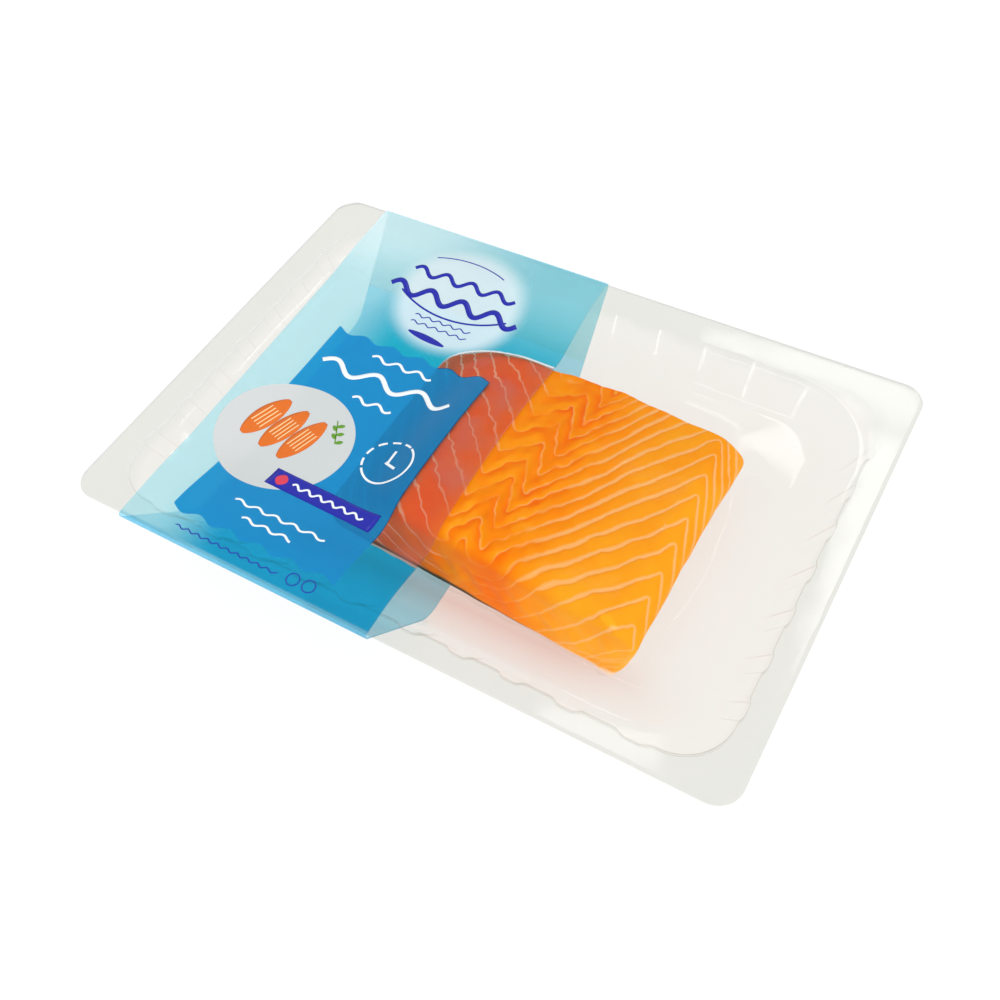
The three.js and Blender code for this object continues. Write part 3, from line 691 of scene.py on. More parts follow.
# %% The fillet with its numbers
fillet = make_piece("salmon_fillet", fillet_points, fillet_faces, flesh, "fillet")
MIDDLE_TONE, RIGHT_TONE, STREAK_TONE, FRONT_TONE, BELLY_TONE = 0.47, 0.38, 0.12, 0.12, -0.2
tones = MIDDLE_TONE + RIGHT_TONE * smoothstep(field_x, 18, 60)
tones = tones + STREAK_TONE * np.exp(-((field_x - 5) / 6) ** 2)
tones += FRONT_TONE * smoothstep(-field_y, 20, 46) * smoothstep(field_x, 20, 60)
tones += BELLY_TONE * smoothstep(-field_x, 0, 30)
# Painted shade: the front face is darker than the top, most at the left
tones -= (0.16 - 0.14 * smoothstep(field_x, 15, 60)) * front_face
print("tones from", tones.min().round(2), "to", tones.max().round(2))
add_field(fillet, "line_number", numbers)
add_field(fillet, "line_gap", gaps)
add_field(fillet, "line_width", widths)
add_field(fillet, "line_strength", strengths)
add_field(fillet, "tone", tones)
muscle = smoothstep(field_x, 0, 6) * smoothstep(-field_x, -40, -26)
add_field(fillet, "mottle", 0.12 + 0.12 * muscle)
add_field(fillet, "muscle", muscle)
# How strong the painted shade across each band is
add_field(fillet, "shingle_shade", (0.08 + 0.62 * muscle) * (1 - 0.7 * front_face))
# Where the painted line shadows are drawn
line_shadows = smoothstep(field_x, 26, 44) * (1 - front_face) * (1 - smoothstep(field_x, 72, 78))
add_field(fillet, "line_shadow", 0.4 * line_shadows)
add_field(fillet, "cream", smoothstep(-field_x, -5, 4))
add_field(fillet, "lip", smoothstep(all_x, 28, 56))
add_field(fillet, "skin", skin_top - (all_z - BASE_Z))

# %% [markdown]
# ## Clear plastic
#
# The tray, the lid film and the juice are thin and clear. Light goes straight through them with a
# faint warm grey tint, and a small part of it is mirrored, more at a glancing angle. Seen nearly
# edge on, a sheet is darker, since the light goes a long way through it, and this draws its folds.
# Round the fish the tray's tint goes over to a pink glow: painted light reflected from the fish.

# %% Tints, painted light from the fish, and painted shade and glint on the rim
# Painted light reflected from the fish: how far it reaches, the heights where it fades out, and how it
# fades towards the back and the right
GLOW_FADE = 0.011
GLOW_LOW, GLOW_HIGH = 0.004, 0.022
GLOW_BEHIND = (-0.052, -0.035, 0.7)
GLOW_RIGHT = (0.045, 0.088, 0.75)
FLUTE_EDGE = 3.6
# Tints of the painted shade down the flutes' sides and along the rim's bend
FLUTE_SHADE_TINT, RIM_SHADE_TINT = (0.80, 0.75, 0.71, 1), (0.66, 0.58, 0.52, 1)


def glancing_tint(tree, tint, edge_tint, power):
    """The tint head on, going over to the edge's tint as the sheet is seen edge on."""
    facing = put(tree, "ShaderNodeLayerWeight", {"Blend": 0.5}).outputs["Facing"]
    return between(tree, calc(tree, "POWER", facing, power), tint, edge_tint)


def own_place(tree):
    """A place in the piece's own space, as x, y and z."""
    place = put(tree, "ShaderNodeTexCoord", {}).outputs["Object"]
    return put(tree, "ShaderNodeSeparateXYZ", {0: place}).outputs


def painted_fish_glow(tree, colour, fish_glow):
    """A colour that goes over to the fish's pink glow, painted light reflected from the fish onto the tray,
    with exp(-distance / fade) for the fade set above. The distance is to the fish's plan, taken as a
    rectangle. It is strongest low down and along the front."""
    place = own_place(tree)
    middle = ((FILLET_LEFT + FILLET_RIGHT) / 2 * MM, (FILLET_FRONT + FILLET_BACK) / 2 * MM)
    half = ((FILLET_RIGHT - FILLET_LEFT) / 2 * MM, (FILLET_BACK - FILLET_FRONT) / 2 * MM)
    beyond = []
    for axis in (0, 1):
        from_middle = calc(tree, "ABSOLUTE", less(tree, place[axis], middle[axis]))
        past = calc(tree, "MAXIMUM", less(tree, from_middle, half[axis]), 0.0)
        beyond.append(times(tree, past, past))
    distance = calc(tree, "SQRT", plus(tree, *beyond))
    strength = less(tree, 1.0, step(tree, place[2], GLOW_LOW, GLOW_HIGH))
    for axis, (start, end, loss) in ((1, GLOW_BEHIND), (0, GLOW_RIGHT)):
        fading = times(tree, step(tree, place[axis], start, end), loss)
        strength = times(tree, strength, less(tree, 1.0, fading))
    share = calc(tree, "EXPONENT", times(tree, distance, -1 / GLOW_FADE))
    return between(tree, times(tree, share, strength), colour, fish_glow)


def painted_rim_shade(tree, colour):
    """Painted shade: a dark line along the rim's bend, and a fainter one down each side of a flute."""
    apart = calc(tree, "ABSOLUTE", less(tree, field(tree, "flute"), FLUTE_EDGE))
    flute_shade = times(tree, less(tree, 1.0, step(tree, apart, 0.1, 0.5)), field(tree, "flute_shade"))
    colour = between(tree, flute_shade, colour, FLUTE_SHADE_TINT)
    return between(tree, field(tree, "rim_shade"), colour, RIM_SHADE_TINT)


print("the blush is down to a third", GLOW_FADE / MM, "mm from the fish")

# %% Clear plastic's material
UNDER_FLANGE_Z, AT_FLANGE_Z = 0.030, 0.0355
HEAD_ON_SHARE, WET_LOSS = 0.014, 0.85


def clear_plastic(name, tint, edge_tint, roughness, ripple_scale, ripple_height,
                  power=16.0, flange_tint=None, fish_glow=None, wet=None, glancing_most=1.0, folded=False):
    """See-through mixed with a mirror by Fresnel's law, over a faintly uneven surface. The sheet
    is drawn thin below the flange, so the flange has a darker tint. wet names the field that
    says where a sheet lies on the fish and so mirrors less."""
    material, tree = new_material(name)
    uneven = bumped(tree, noise(tree, ripple_scale, 0.0), ripple_height, 1.0)
    if flange_tint:
        at_flange = step(tree, own_place(tree)[2], UNDER_FLANGE_Z, AT_FLANGE_Z)
        tint = between(tree, at_flange, tint, flange_tint)
    colour = glancing_tint(tree, tint, edge_tint, power)
    # Painted reflected light: the tint goes pink near the fish
    if fish_glow:
        colour = painted_fish_glow(tree, colour, fish_glow)
    # Painted shade along the rim's bend and down the flutes' sides
    if folded:
        colour = painted_rim_shade(tree, colour)
    clear = put(tree, "ShaderNodeBsdfTransparent", {"Color": colour})
    mirror = put(tree, "ShaderNodeBsdfPrincipled", {
        "Base Color": (0.95, 0.95, 0.94, 1), "Metallic": 1.0, "Roughness": roughness, "Normal": uneven})
    share = mirror_share(tree, HEAD_ON_SHARE, uneven, glancing_most)
    if wet:
        kept = less(tree, 1.0, times(tree, field(tree, wet), WET_LOSS))
        share = times(tree, share, kept)
    mixed = put(tree, "ShaderNodeMixShader", {0: share, 1: clear.outputs[0], 2: mirror.outputs[0]})
    # Painted highlight: a white diffuse finish where the glint field is, along the left rim
    if folded:
        white = put(tree, "ShaderNodeBsdfPrincipled", {
            "Base Color": (0.95, 0.95, 0.95, 1), "Roughness": 0.3})
        mixed = put(tree, "ShaderNodeMixShader", {
            0: field(tree, "glint"), 1: mixed.outputs[0], 2: white.outputs[0]})
    finish_material(tree, mixed.outputs[0])
    return material


TRAY_TINT, TRAY_EDGE_TINT = (0.958, 0.950, 0.934, 1), (0.48, 0.38, 0.33, 1)
# The pink on the next line is painted light reflected from the fish
FLANGE_TINT, FISH_GLOW = (0.920, 0.922, 0.905, 1), (0.92, 0.79, 0.75, 1)
FILM_TINT, FILM_EDGE_TINT = (0.964, 0.962, 0.955, 1), (0.80, 0.76, 0.74, 1)
JUICE_TINT, JUICE_EDGE_TINT = (0.995, 0.975, 0.960, 1), (0.96, 0.90, 0.85, 1)
tray_plastic = clear_plastic(
    "tray_plastic", TRAY_TINT, TRAY_EDGE_TINT, 0.07, 60.0, 0.00015,
    power=40.0, flange_tint=FLANGE_TINT, fish_glow=FISH_GLOW, glancing_most=0.35, folded=True)
film_plastic = clear_plastic(
    "film_plastic", FILM_TINT, FILM_EDGE_TINT, 0.06, 45.0, 0.0001, wet="wet")
juice = clear_plastic("juice", JUICE_TINT, JUICE_EDGE_TINT, 0.03, 90.0, 0.0002, power=6.0)
print("clear plastics", tray_plastic.name, film_plastic.name, juice.name)

# %% [markdown]
# ## The juice
#
# A little juice has drained from the fish and stands round its foot. It climbs the fish's side
# and runs out over the tray in a hollow curve, so its rim catches a thin line of light.

# %% The juice round the fish's foot
JUICE_FLOOR_Z, JUICE_DEPTH_UNDER = 1.5, 0.02
JUICE_HEIGHT, JUICE_HEIGHT_FRONT, JUICE_HEIGHT_WAVE = 0.5, 0.9, 0.28
JUICE_REACH, JUICE_REACH_FRONT, JUICE_REACH_WAVE = 0.6, 0.5, 0.33
JUICE_START, JUICE_OVERLAP = 0.2, 0.5
juice_waves = make_waves(25, 8, 9, 26)
bank = ripple(juice_waves, *outline.T)
at_front = smoothstep(-facing[:, 1], 0.2, 0.9)
juice_height = (JUICE_HEIGHT + JUICE_HEIGHT_FRONT * at_front) * (1 + JUICE_HEIGHT_WAVE * bank)
juice_reach = (JUICE_REACH + JUICE_REACH_FRONT * at_front) * (1 + JUICE_REACH_WAVE * bank)
undercut_shift = np.column_stack([undercut_foot, np.zeros_like(undercut_foot)])
foot = outline - undercut_shift - facing * JUICE_OVERLAP
juice_rows = []
for share in np.linspace(0, 1, 7):
    out = JUICE_START + juice_reach * share ** 2
    z = JUICE_FLOOR_Z + juice_height * (1 - share) ** 2
    juice_rows.append(np.column_stack([foot + facing * out[:, None], z]))
underside = np.full(len(foot), JUICE_FLOOR_Z - JUICE_DEPTH_UNDER)
juice_rows.append(np.column_stack([foot + facing * JUICE_START, underside]))
juice_grid = np.stack(juice_rows)
juice_index = np.arange(juice_grid.shape[0] * len(foot)).reshape(-1, len(foot))
juice_index = np.concatenate([juice_index, juice_index[:1]])
juice_faces = grid_faces(closed_columns(juice_index))[:, ::-1].tolist()
make_piece("fish_juice", juice_grid.reshape(-1, 3), juice_faces, juice)

# %% [markdown]
# ## The tray
#
# The tray is drawn from one sheet of plastic: a flat floor, a large turn, walls that lean out
# with short flutes to stiffen them, and a wide flange. Its profile is carried round a rounded
# rectangle, and a second profile, set out by the sheet's thickness, closes the shell.

# %% The tray's outline
TRAY_SHEET = 0.45
TRAY_FLOOR_Z, FLANGE_Z = 1.45, 35.95
TRAY_DEPTH = FLANGE_Z - TRAY_FLOOR_Z
CAVITY_HALF = (120.1, 80.1)
CAVITY_SHIFT = (0.6, -1.6)
RIM_CORNER, FLOOR_CORNER = 18.0, 13.0
PACK_HALF, PACK_CORNER = (130.0, 90.0), 9.0
WALL_LEAN = np.radians(31)
TURN_RADIUS = 12.0
FLUTE_PITCH, FLUTE_DEPTH, FLUTE_HALF, FLUTE_CREST, FLUTE_ROOM = 19.1, 1.4, 5.0, 2.0, 6.0
LONG_FLUTES = np.array([0.65, 1.65, 2.65, 3.65, 4.65]) * FLUTE_PITCH
SHORT_FLUTES = np.array([0, 1, 2, 3]) * FLUTE_PITCH
SHORT_FLUTE_SHARE = 0.65
SIDE_POINTS, CORNER_POINTS = (250, 170), 16
SIDES = [((1, 0), (0, -1)), ((0, 1), (1, 0)), ((-1, 0), (0, 1)), ((0, -1), (-1, 0))]
SPREAD_POWER = 6


def side_places(points, flutes):
    """Even shares along a side from -1 to 1, and the flutes' wave: 1 on a crest, 0 beside it."""
    room = flutes[-1] + FLUTE_ROOM
    places = np.linspace(-1, 1, points)
    nearest = np.abs(np.abs(places * room)[:, None] - flutes[None]).min(axis=1)
    return places, 1 - smoothstep(nearest, FLUTE_CREST, FLUTE_HALF)


def tray_ring(half, radius, flute):
    """A rounded rectangle, anticlockwise from its front side, pushed out by its flutes. A side's
    points keep to its flutes as far as they go, and the last ones spread out to the corner."""
    corners = np.linspace(0, np.pi / 2, CORNER_POINTS + 2)[1:-1]
    parts = []
    for side, (along, out) in enumerate(SIDES):
        short = side % 2
        straight = half[short] - radius
        reach = half[1 - short] - radius
        flutes = SHORT_FLUTES if short else LONG_FLUTES
        places, wave = side_places(SIDE_POINTS[short], flutes)
        room = flutes[-1] + FLUTE_ROOM
        within = np.abs(places) < 1
        fitted = np.where(within, places * min(straight, room), places * straight)
        further = max(0, straight - room) * np.abs(places) ** SPREAD_POWER * within
        spread = fitted + np.sign(places) * further
        crest = flute * (SHORT_FLUTE_SHARE if short else 1.0)
        push = (reach + radius + crest * wave)[:, None] * np.array(out)
        parts.append(spread[:, None] * np.array(along) + push)
        turn = np.outer(np.cos(corners), out) + np.outer(np.sin(corners), along)
        parts.append(straight * np.array(along) + reach * np.array(out) + radius * turn)
    return np.concatenate(parts)


print("a ring has", len(tray_ring(PACK_HALF, PACK_CORNER, 0.0)), "points")

# %% The tray's profile
turn_depth = TRAY_DEPTH - TURN_RADIUS * (1 - np.sin(WALL_LEAN))
floor_inset = turn_depth * np.tan(WALL_LEAN) + TURN_RADIUS * np.cos(WALL_LEAN)
turn_angles = np.linspace(0, np.pi / 2 - WALL_LEAN, 11)
turn_profile = np.stack([floor_inset - TURN_RADIUS * np.sin(turn_angles),
                         TRAY_FLOOR_Z + TURN_RADIUS * (1 - np.cos(turn_angles))], axis=-1)
STEP_BOTTOM, STEP_TOP, STEP_LEAN, LIP_RADIUS = 1.6, 0.7, np.radians(6), 0.7
wall_depths = np.append(np.linspace(turn_depth, STEP_BOTTOM + 0.2, 20)[1:], STEP_BOTTOM)
wall_profile = np.stack([wall_depths * np.tan(WALL_LEAN), FLANGE_Z - wall_depths], axis=-1)
step_inset = wall_profile[-1, 0] - (STEP_BOTTOM - STEP_TOP) * np.tan(STEP_LEAN)
lip_angles = np.linspace(0, np.pi / 2, 7)
lip_profile = np.stack([step_inset - LIP_RADIUS * (1 - np.cos(lip_angles)),
                        FLANGE_Z - LIP_RADIUS * (1 - np.sin(lip_angles))], axis=-1)
tray_profile = np.concatenate([turn_profile, wall_profile, lip_profile])
steps = np.diff(tray_profile, axis=0)
steps /= np.hypot(*steps.T)[:, None]
level = np.array([[-1.0, 0.0]])
before = np.concatenate([level, steps])
after = np.concatenate([steps, level])
bisector = before + after
bisector /= np.hypot(*bisector.T)[:, None]
outward = np.stack([-bisector[:, 1], bisector[:, 0]], axis=-1)
outer_profile = tray_profile + TRAY_SHEET * outward
print("tray profile", len(tray_profile), "rings, floor inset", round(float(floor_inset), 2), "mm")

# %% The tray's shell
FLUTE_FADE = (14, 18.5)
FLANGE_SHARES = (0.15, 0.5, 0.85, 1.0)


def tray_face(profile, flange_z):
    """Rings from the floor's edge to the rim, then over the flange to its edge."""
    found = []
    for inset, z in profile:
        depth = FLANGE_Z - z
        flute = FLUTE_DEPTH * float(1 - smoothstep(depth, *FLUTE_FADE))
        radius = max(FLOOR_CORNER, RIM_CORNER - inset / 2)
        half = (CAVITY_HALF[0] - inset, CAVITY_HALF[1] - inset)
        ring = tray_ring(half, radius, flute) + CAVITY_SHIFT
        found.append(np.column_stack([ring, np.full(len(ring), z)]))
    edge_ring = tray_ring(PACK_HALF, PACK_CORNER, 0.0)
    rim = found[-1][:, :2]
    for share in FLANGE_SHARES:
        flat = rim + (edge_ring - rim) * share
        found.append(np.column_stack([flat, np.full(len(flat), flange_z)]))
    return np.stack(found)


inside_rings = tray_face(tray_profile, FLANGE_Z)
outside_rings = tray_face(outer_profile, FLANGE_Z - TRAY_SHEET)
around_count = inside_rings.shape[1]
inside_index = np.arange(inside_rings.shape[0] * around_count).reshape(-1, around_count)
outside_index = inside_index + inside_index.size
rim_index = np.stack([outside_index[-1], inside_index[-1]])
tray_faces = [
    grid_faces(closed_columns(inside_index))[:, ::-1],
    grid_faces(closed_columns(outside_index)),
    grid_faces(closed_columns(rim_index)),
]
tray_faces = np.concatenate(tray_faces).tolist()
tray_faces.append(inside_index[0].tolist())
tray_faces.append(outside_index[0][::-1].tolist())
tray_points = np.concatenate([inside_rings.reshape(-1, 3), outside_rings.reshape(-1, 3)])
tray = make_piece("clear_tray", tray_points, tray_faces, tray_plastic, "tray")


# %% The tray's painted shade and glint as numbers
def round_the_ring(on_side, at_corner):
    """Numbers round a ring from each side's own and those of the corner that follows it."""
    parts = []
    for side in range(4):
        count = SIDE_POINTS[side % 2]
        parts.append(np.broadcast_to(on_side[side], count))
        parts.append(np.broadcast_to(at_corner[side], CORNER_POINTS))
    return np.concatenate(parts)


# The sides are in the order front, right, back, left, each followed by its corner
fall = np.linspace(1, 0, CORNER_POINTS)
BEND_DEPTH, BEND_SPREAD = 0.28, 0.14
flute_gap = []
for side in range(4):
    flutes = SHORT_FLUTES if side % 2 else LONG_FLUTES
    along = np.linspace(-1, 1, SIDE_POINTS[side % 2]) * (flutes[-1] + FLUTE_ROOM)
    flute_gap.append(np.abs(np.abs(along)[:, None] - flutes[None]).min(axis=1))
flute_gap = round_the_ring(flute_gap, [FLUTE_PITCH] * 4)
shaded_side = round_the_ring([1, 1, 0, 0], [1, fall, 0, 1 - fall])
glint_side = round_the_ring([0, 0, 0, 1], [0, 0, 1 - fall, fall])
upright_side = round_the_ring([0, 0.7, 0, 0.35], [0, 0, 0, 0])
ring_total = inside_rings.shape[0]
ring_depth = FLANGE_Z - inside_rings[:, :1, 2]
bend = np.exp(-((ring_depth - BEND_DEPTH) / BEND_SPREAD) ** 2)
down_wall = smoothstep(ring_depth, 0.8, 2.0) * (1 - smoothstep(ring_depth, 9, 17))
fading_back = 1 - smoothstep(inside_rings[..., 1], 20, 50)
outside = np.zeros(outside_rings.shape[0] * around_count)
# Painted shade along the rim's bend at the front and right, fading towards the back, painted shade down the
# flutes' sides, and a painted white glint on the left rim
painted_rim_marks = {
    "rim_shade": 0.75 * bend * shaded_side * fading_back,
    "glint": 0.7 * bend * glint_side,
    "flute_shade": 0.6 * down_wall * upright_side,
}
for name, inside in painted_rim_marks.items():
    add_field(tray, name, np.concatenate([inside.ravel(), outside]))
    print(name, "up to", inside.max().round(2))
add_field(tray, "flute", np.tile(flute_gap, ring_total + outside_rings.shape[0]))

# %% [markdown]
# ## The lid film
#
# The film is heat sealed to the flange, and the pack's air was drawn out, so it sags inside the
# rim and lies close on the fish. Its height is the larger of a drawn-down sheet and the fish's
# own top, with a soft change between the two. The sleeve goes by the same formula, but it is
# tauter, so it sags over a longer way.

# %% The film's height
FILM_SHEET = 0.12
FILM_LEVEL_Z = 36.25
FILM_DROOP, DROOP_FROM, DROOP_TO = 5.6, 1.5, 20.0
SAG_CORNER = 36.0
SLEEVE_DROOP_TO = 40.0
FILM_OVER_FISH, FILM_FALL, FILM_BLEND = 0.5, 0.42, 3.0
FILM_WAVE, FILM_RELIEF = 0.05, 0.3
film_waves = make_waves(31, 9, 22, 60)


def depth_inside_rim(x, y):
    """How far a place lies inside the rim's rectangle, with its corners well rounded, or zero
    outside it."""
    dx = np.abs(x - CAVITY_SHIFT[0]) - (CAVITY_HALF[0] - SAG_CORNER)
    dy = np.abs(y - CAVITY_SHIFT[1]) - (CAVITY_HALF[1] - SAG_CORNER)
    outside = np.hypot(np.maximum(dx, 0), np.maximum(dy, 0))
    return np.maximum(0, SAG_CORNER - outside - np.minimum(np.maximum(dx, dy), 0))


def film_underside(x, y, droop_to=DROOP_TO):
    """The drawn-down sheet, or the fish's top less a fall outside the fish's outline."""
    inside = depth_inside_rim(x, y)
    drawn = FILM_LEVEL_Z - FILM_DROOP * smoothstep(inside, DROOP_FROM, droop_to)
    drawn = drawn + FILM_WAVE * ripple(film_waves, x, y) * smoothstep(inside, 4, 24)
    laid = film_on_fish(x, y)
    return soft_max(drawn, laid, FILM_BLEND)


def film_on_fish(x, y):
    """The film's height where the fish holds it up, falling away outside the fish's outline."""
    near_x = -soft_max(-x, np.full_like(x, -SHOULDER_X - 2), 4.0)
    near_y = soft_max(y, front_y(near_x) + FRONT_EDGE, 4.0)
    near_y = -soft_max(-near_y, np.full_like(y, 2.5 - FILLET_BACK), 3.0)
    away = np.hypot(x - near_x, y - near_y)
    laid = BASE_Z + fillet_height(near_x, near_y) + FILM_OVER_FISH
    laid = laid + relief(near_x, near_y) * FILM_RELIEF
    return laid - FILM_FALL * (np.sqrt(away ** 2 + 1) - 1)


def rounded_grid(half, radius, step):
    """A grid over a rectangle, with each corner square drawn onto a quarter of a disc."""
    x, y = np.meshgrid(*[np.linspace(-side, side, int(round(2 * side / step)) + 1) for side in half])
    a = np.clip((np.abs(x) - half[0] + radius) / radius, 0, 1)
    b = np.clip((np.abs(y) - half[1] + radius) / radius, 0, 1)
    corner_x = half[0] - radius + radius * a * np.sqrt(1 - b * b / 2)
    corner_y = half[1] - radius + radius * b * np.sqrt(1 - a * a / 2)
    return np.where(a > 0, np.sign(x) * corner_x, x), np.where(b > 0, np.sign(y) * corner_y, y)


print("film over the fish", film_underside(np.array([CROWN_X]), np.array([CROWN_Y]))[0].round(1), "mm high")

# %% The film's shell
FILM_STEP = 1.5
film_x, film_y = rounded_grid(PACK_HALF, PACK_CORNER, FILM_STEP)
film_z = film_underside(film_x, film_y)
film_points, film_faces = sheet_shell(
    np.dstack([film_x, film_y, film_z + FILM_SHEET]), np.dstack([film_x, film_y, film_z]))
film = make_piece("lid_film_sheet", film_points, film_faces, film_plastic, "lid_film")
flat_x, flat_y = film_points[:, 0], film_points[:, 1]
clinging = smoothstep(film_on_fish(flat_x, flat_y) - film_points[:, 2], -3.5, -1.2)
add_field(film, "wet", clinging)

# %% [markdown]
# ## The sleeve
#
# The sleeve is a band of glossy film, printed in translucent blue and wrapped once round the
# pack. Its section follows the film over the top, folds round the flange's edge, runs down the
# walls and lies flat under the floor. The print is ink in the film and not a layer of its own, so
# it is drawn by the material: for each printed shape the mesh carries the distance to the
# shape's edge, and the shader inks what lies inside.

# %% The sleeve's section
SLEEVE_LEFT, SLEEVE_RIGHT, SLEEVE_SKEW = -107.0, 1.0, 0.02
SLEEVE_SHEET = 0.15
OVER_FILM = 0.25
FOLD_RADIUS, FOLD_INSET = 1.3, 0.3
FOLD_Z = FILM_LEVEL_Z + FILM_SHEET + OVER_FILM - FOLD_RADIUS
SLEEVE_ROUND_TRAY = 0.8 + 0.3
FOLD_POINTS, STRETCH_POINTS, TURN_POINTS = 9, 28, 17


def sleeve_inside_z(x, y):
    """The sleeve's inner face over the film, tauter than the film under it."""
    return film_underside(x, y, SLEEVE_DROOP_TO) + FILM_SHEET + OVER_FILM


def sleeve_side(side):
    """Down one side: a small fold at the flange, a straight stretch and a large turn under."""
    fold_y = PACK_HALF[1] - FOLD_INSET
    radius = TURN_RADIUS + SLEEVE_ROUND_TRAY
    turn_y = CAVITY_HALF[1] - floor_inset + side * CAVITY_SHIFT[1]
    turn_z = TRAY_FLOOR_Z + TURN_RADIUS
    reach = np.hypot(fold_y - turn_y, FOLD_Z - turn_z)
    lean = np.arctan2(FOLD_Z - turn_z, fold_y - turn_y)
    touch = lean - np.arccos((radius - FOLD_RADIUS) / reach)
    fold = np.linspace(np.pi / 2, touch, FOLD_POINTS)[:, None]
    turn = np.linspace(touch, -np.pi / 2, TURN_POINTS)[:, None]
    folded = np.array([fold_y, FOLD_Z]) + FOLD_RADIUS * np.hstack([np.cos(fold), np.sin(fold)])
    turned = np.array([turn_y, turn_z]) + radius * np.hstack([np.cos(turn), np.sin(turn)])
    share = np.linspace(0, 1, STRETCH_POINTS + 2)[1:-1, None]
    stretch = folded[-1] * (1 - share) + turned[0] * share
    return np.concatenate([folded, stretch, turned])


TOP_COLUMNS, UNDER_COLUMNS, ROW_COUNT = 221, 60, 124
back_side = sleeve_side(1)
front_side = sleeve_side(-1) * [-1, 1]
under_y = np.linspace(back_side[-1, 0], front_side[-1, 0], UNDER_COLUMNS)[1:-1]
under = np.stack([under_y, np.full(len(under_y), back_side[-1, 1])], axis=-1)
top_y = np.linspace(-PACK_HALF[1] + FOLD_INSET, PACK_HALF[1] - FOLD_INSET, TOP_COLUMNS)[1:-1]
rest = np.concatenate([back_side, under, front_side[::-1]])
row_x = np.linspace(SLEEVE_LEFT, SLEEVE_RIGHT, ROW_COUNT)
section_y = np.concatenate([top_y, rest[:, 0]])
grid_x, grid_y = np.meshgrid(row_x, section_y, indexing="ij")
over_z = sleeve_inside_z(grid_x[:, :len(top_y)], grid_y[:, :len(top_y)])
grid_z = np.concatenate([over_z, np.tile(rest[:, 1], (ROW_COUNT, 1))], axis=1)
print("sleeve section", len(section_y), "points,", ROW_COUNT, "rows")

# %% The sleeve's shell
forward = np.stack([np.roll(grid, -1, 1) - np.roll(grid, 1, 1) for grid in (grid_y, grid_z)])
forward /= np.hypot(*forward)
outward = np.dstack([np.zeros_like(grid_y), -forward[1], forward[0]])
inner_sleeve = np.dstack([grid_x - SLEEVE_SKEW * grid_y, grid_y, grid_z])
outer_sleeve = inner_sleeve + SLEEVE_SHEET * outward
inner_number = np.arange(grid_y.size).reshape(grid_y.shape)
outer_number = inner_number + inner_number.size
left_end = np.stack([outer_number[0], inner_number[0]])
right_end = np.stack([inner_number[-1], outer_number[-1]])
sleeve_faces = np.concatenate([
    grid_faces(closed_columns(outer_number))[:, ::-1],
    grid_faces(closed_columns(inner_number)),
    grid_faces(closed_columns(left_end))[:, ::-1],
    grid_faces(closed_columns(right_end))[:, ::-1],
]).tolist()
sleeve_points = np.concatenate([inner_sleeve.reshape(-1, 3), outer_sleeve.reshape(-1, 3)])


def sleeve_top_z(x, y):
    """The height of the sleeve's outer face over the film."""
    return sleeve_inside_z(x + SLEEVE_SKEW * y, y) + SLEEVE_SHEET


print("sleeve", len(sleeve_points), "points, its top", sleeve_points[:, 2].max().round(1), "mm high")

# %% The printed shapes as distances inside their edges
FAR_OUT = -50.0
PANEL = {"left": -90.0, "right": -17.5, "low": -79.0, "high": 25.0, "wave": 1.1}
PANEL_WAVE_LENGTH = 13.5
PLATE = {"centre": (-75.7, -31.6), "radii": (27.5, 25.5)}
OVAL = {"centre": (-52.0, 57.0), "radii": (30.0, 28.0)}
SIGHT_STEPS = np.linspace(0, 56, 57)
WINDOW_ROOM = 0.6


def inside_disc(x, y, centre, radii):
    """About how far inside an ellipse a place is, in mm."""
    scaled = np.hypot((x - centre[0]) / radii[0], (y - centre[1]) / radii[1])
    return (1 - scaled) * min(radii)


def inside_panel(x, y, left, right, low, high, wave):
    """How far inside a panel with straight sides and wavy ends a place is."""
    swing = wave * np.sin(2 * np.pi * x / PANEL_WAVE_LENGTH)
    return np.minimum(np.minimum(x - left, right - x), np.minimum(y - low - swing, high + swing - y))


def inside_fish(x, y, z):
    """About how far inside the fillet a point of space is, in mm."""
    lengthwise = np.minimum(x - FILLET_LEFT, FILLET_RIGHT - x)
    crosswise = np.minimum(y - front_y(x), FILLET_BACK_AT_LEFT + WINDOW_ROOM - y)
    upright = np.minimum(BASE_Z + fillet_height(x, y) - z, z - BASE_Z)
    return np.minimum(np.minimum(lengthwise, crosswise), upright)


def inside_window(points):
    """How far inside the fish's outline, as the photo's viewpoint has it, points of the sleeve
    are: the deepest place in the fish along the line of sight through each point."""
    sight = points - EYE
    sight /= np.sqrt((sight ** 2).sum(axis=1))[:, None]
    deepest = np.full(len(points), FAR_OUT)
    for reach in SIGHT_STEPS:
        deepest = np.maximum(deepest, inside_fish(*(points + sight * reach).T))
    return deepest


flat_x, flat_y = sleeve_points[:, 0], sleeve_points[:, 1]
is_outer_top = np.zeros((2, *grid_y.shape))
is_outer_top[1, :, :len(top_y)] = 1
is_outer_top = is_outer_top.reshape(-1)
is_inner = np.arange(len(sleeve_points)) < grid_y.size
UNDER_FROM = 30
is_under = np.zeros(grid_y.shape)
is_under[:, len(top_y) + UNDER_FROM:] = 1
is_under = np.tile(is_under.reshape(-1), 2)
print("print shapes over", int(is_outer_top.sum()), "points")

# %% The sleeve's material
def ink_layer(tree, mask, under_colours, colours):
    """Lays one printed shape over what is there: its see-through tint, its ink and its cover."""
    tint = between(tree, mask, under_colours[0], colours[0])
    ink = between(tree, mask, under_colours[1], colours[1])
    change = less(tree, colours[2], under_colours[2])
    return tint, ink, plus(tree, under_colours[2], times(tree, mask, change))


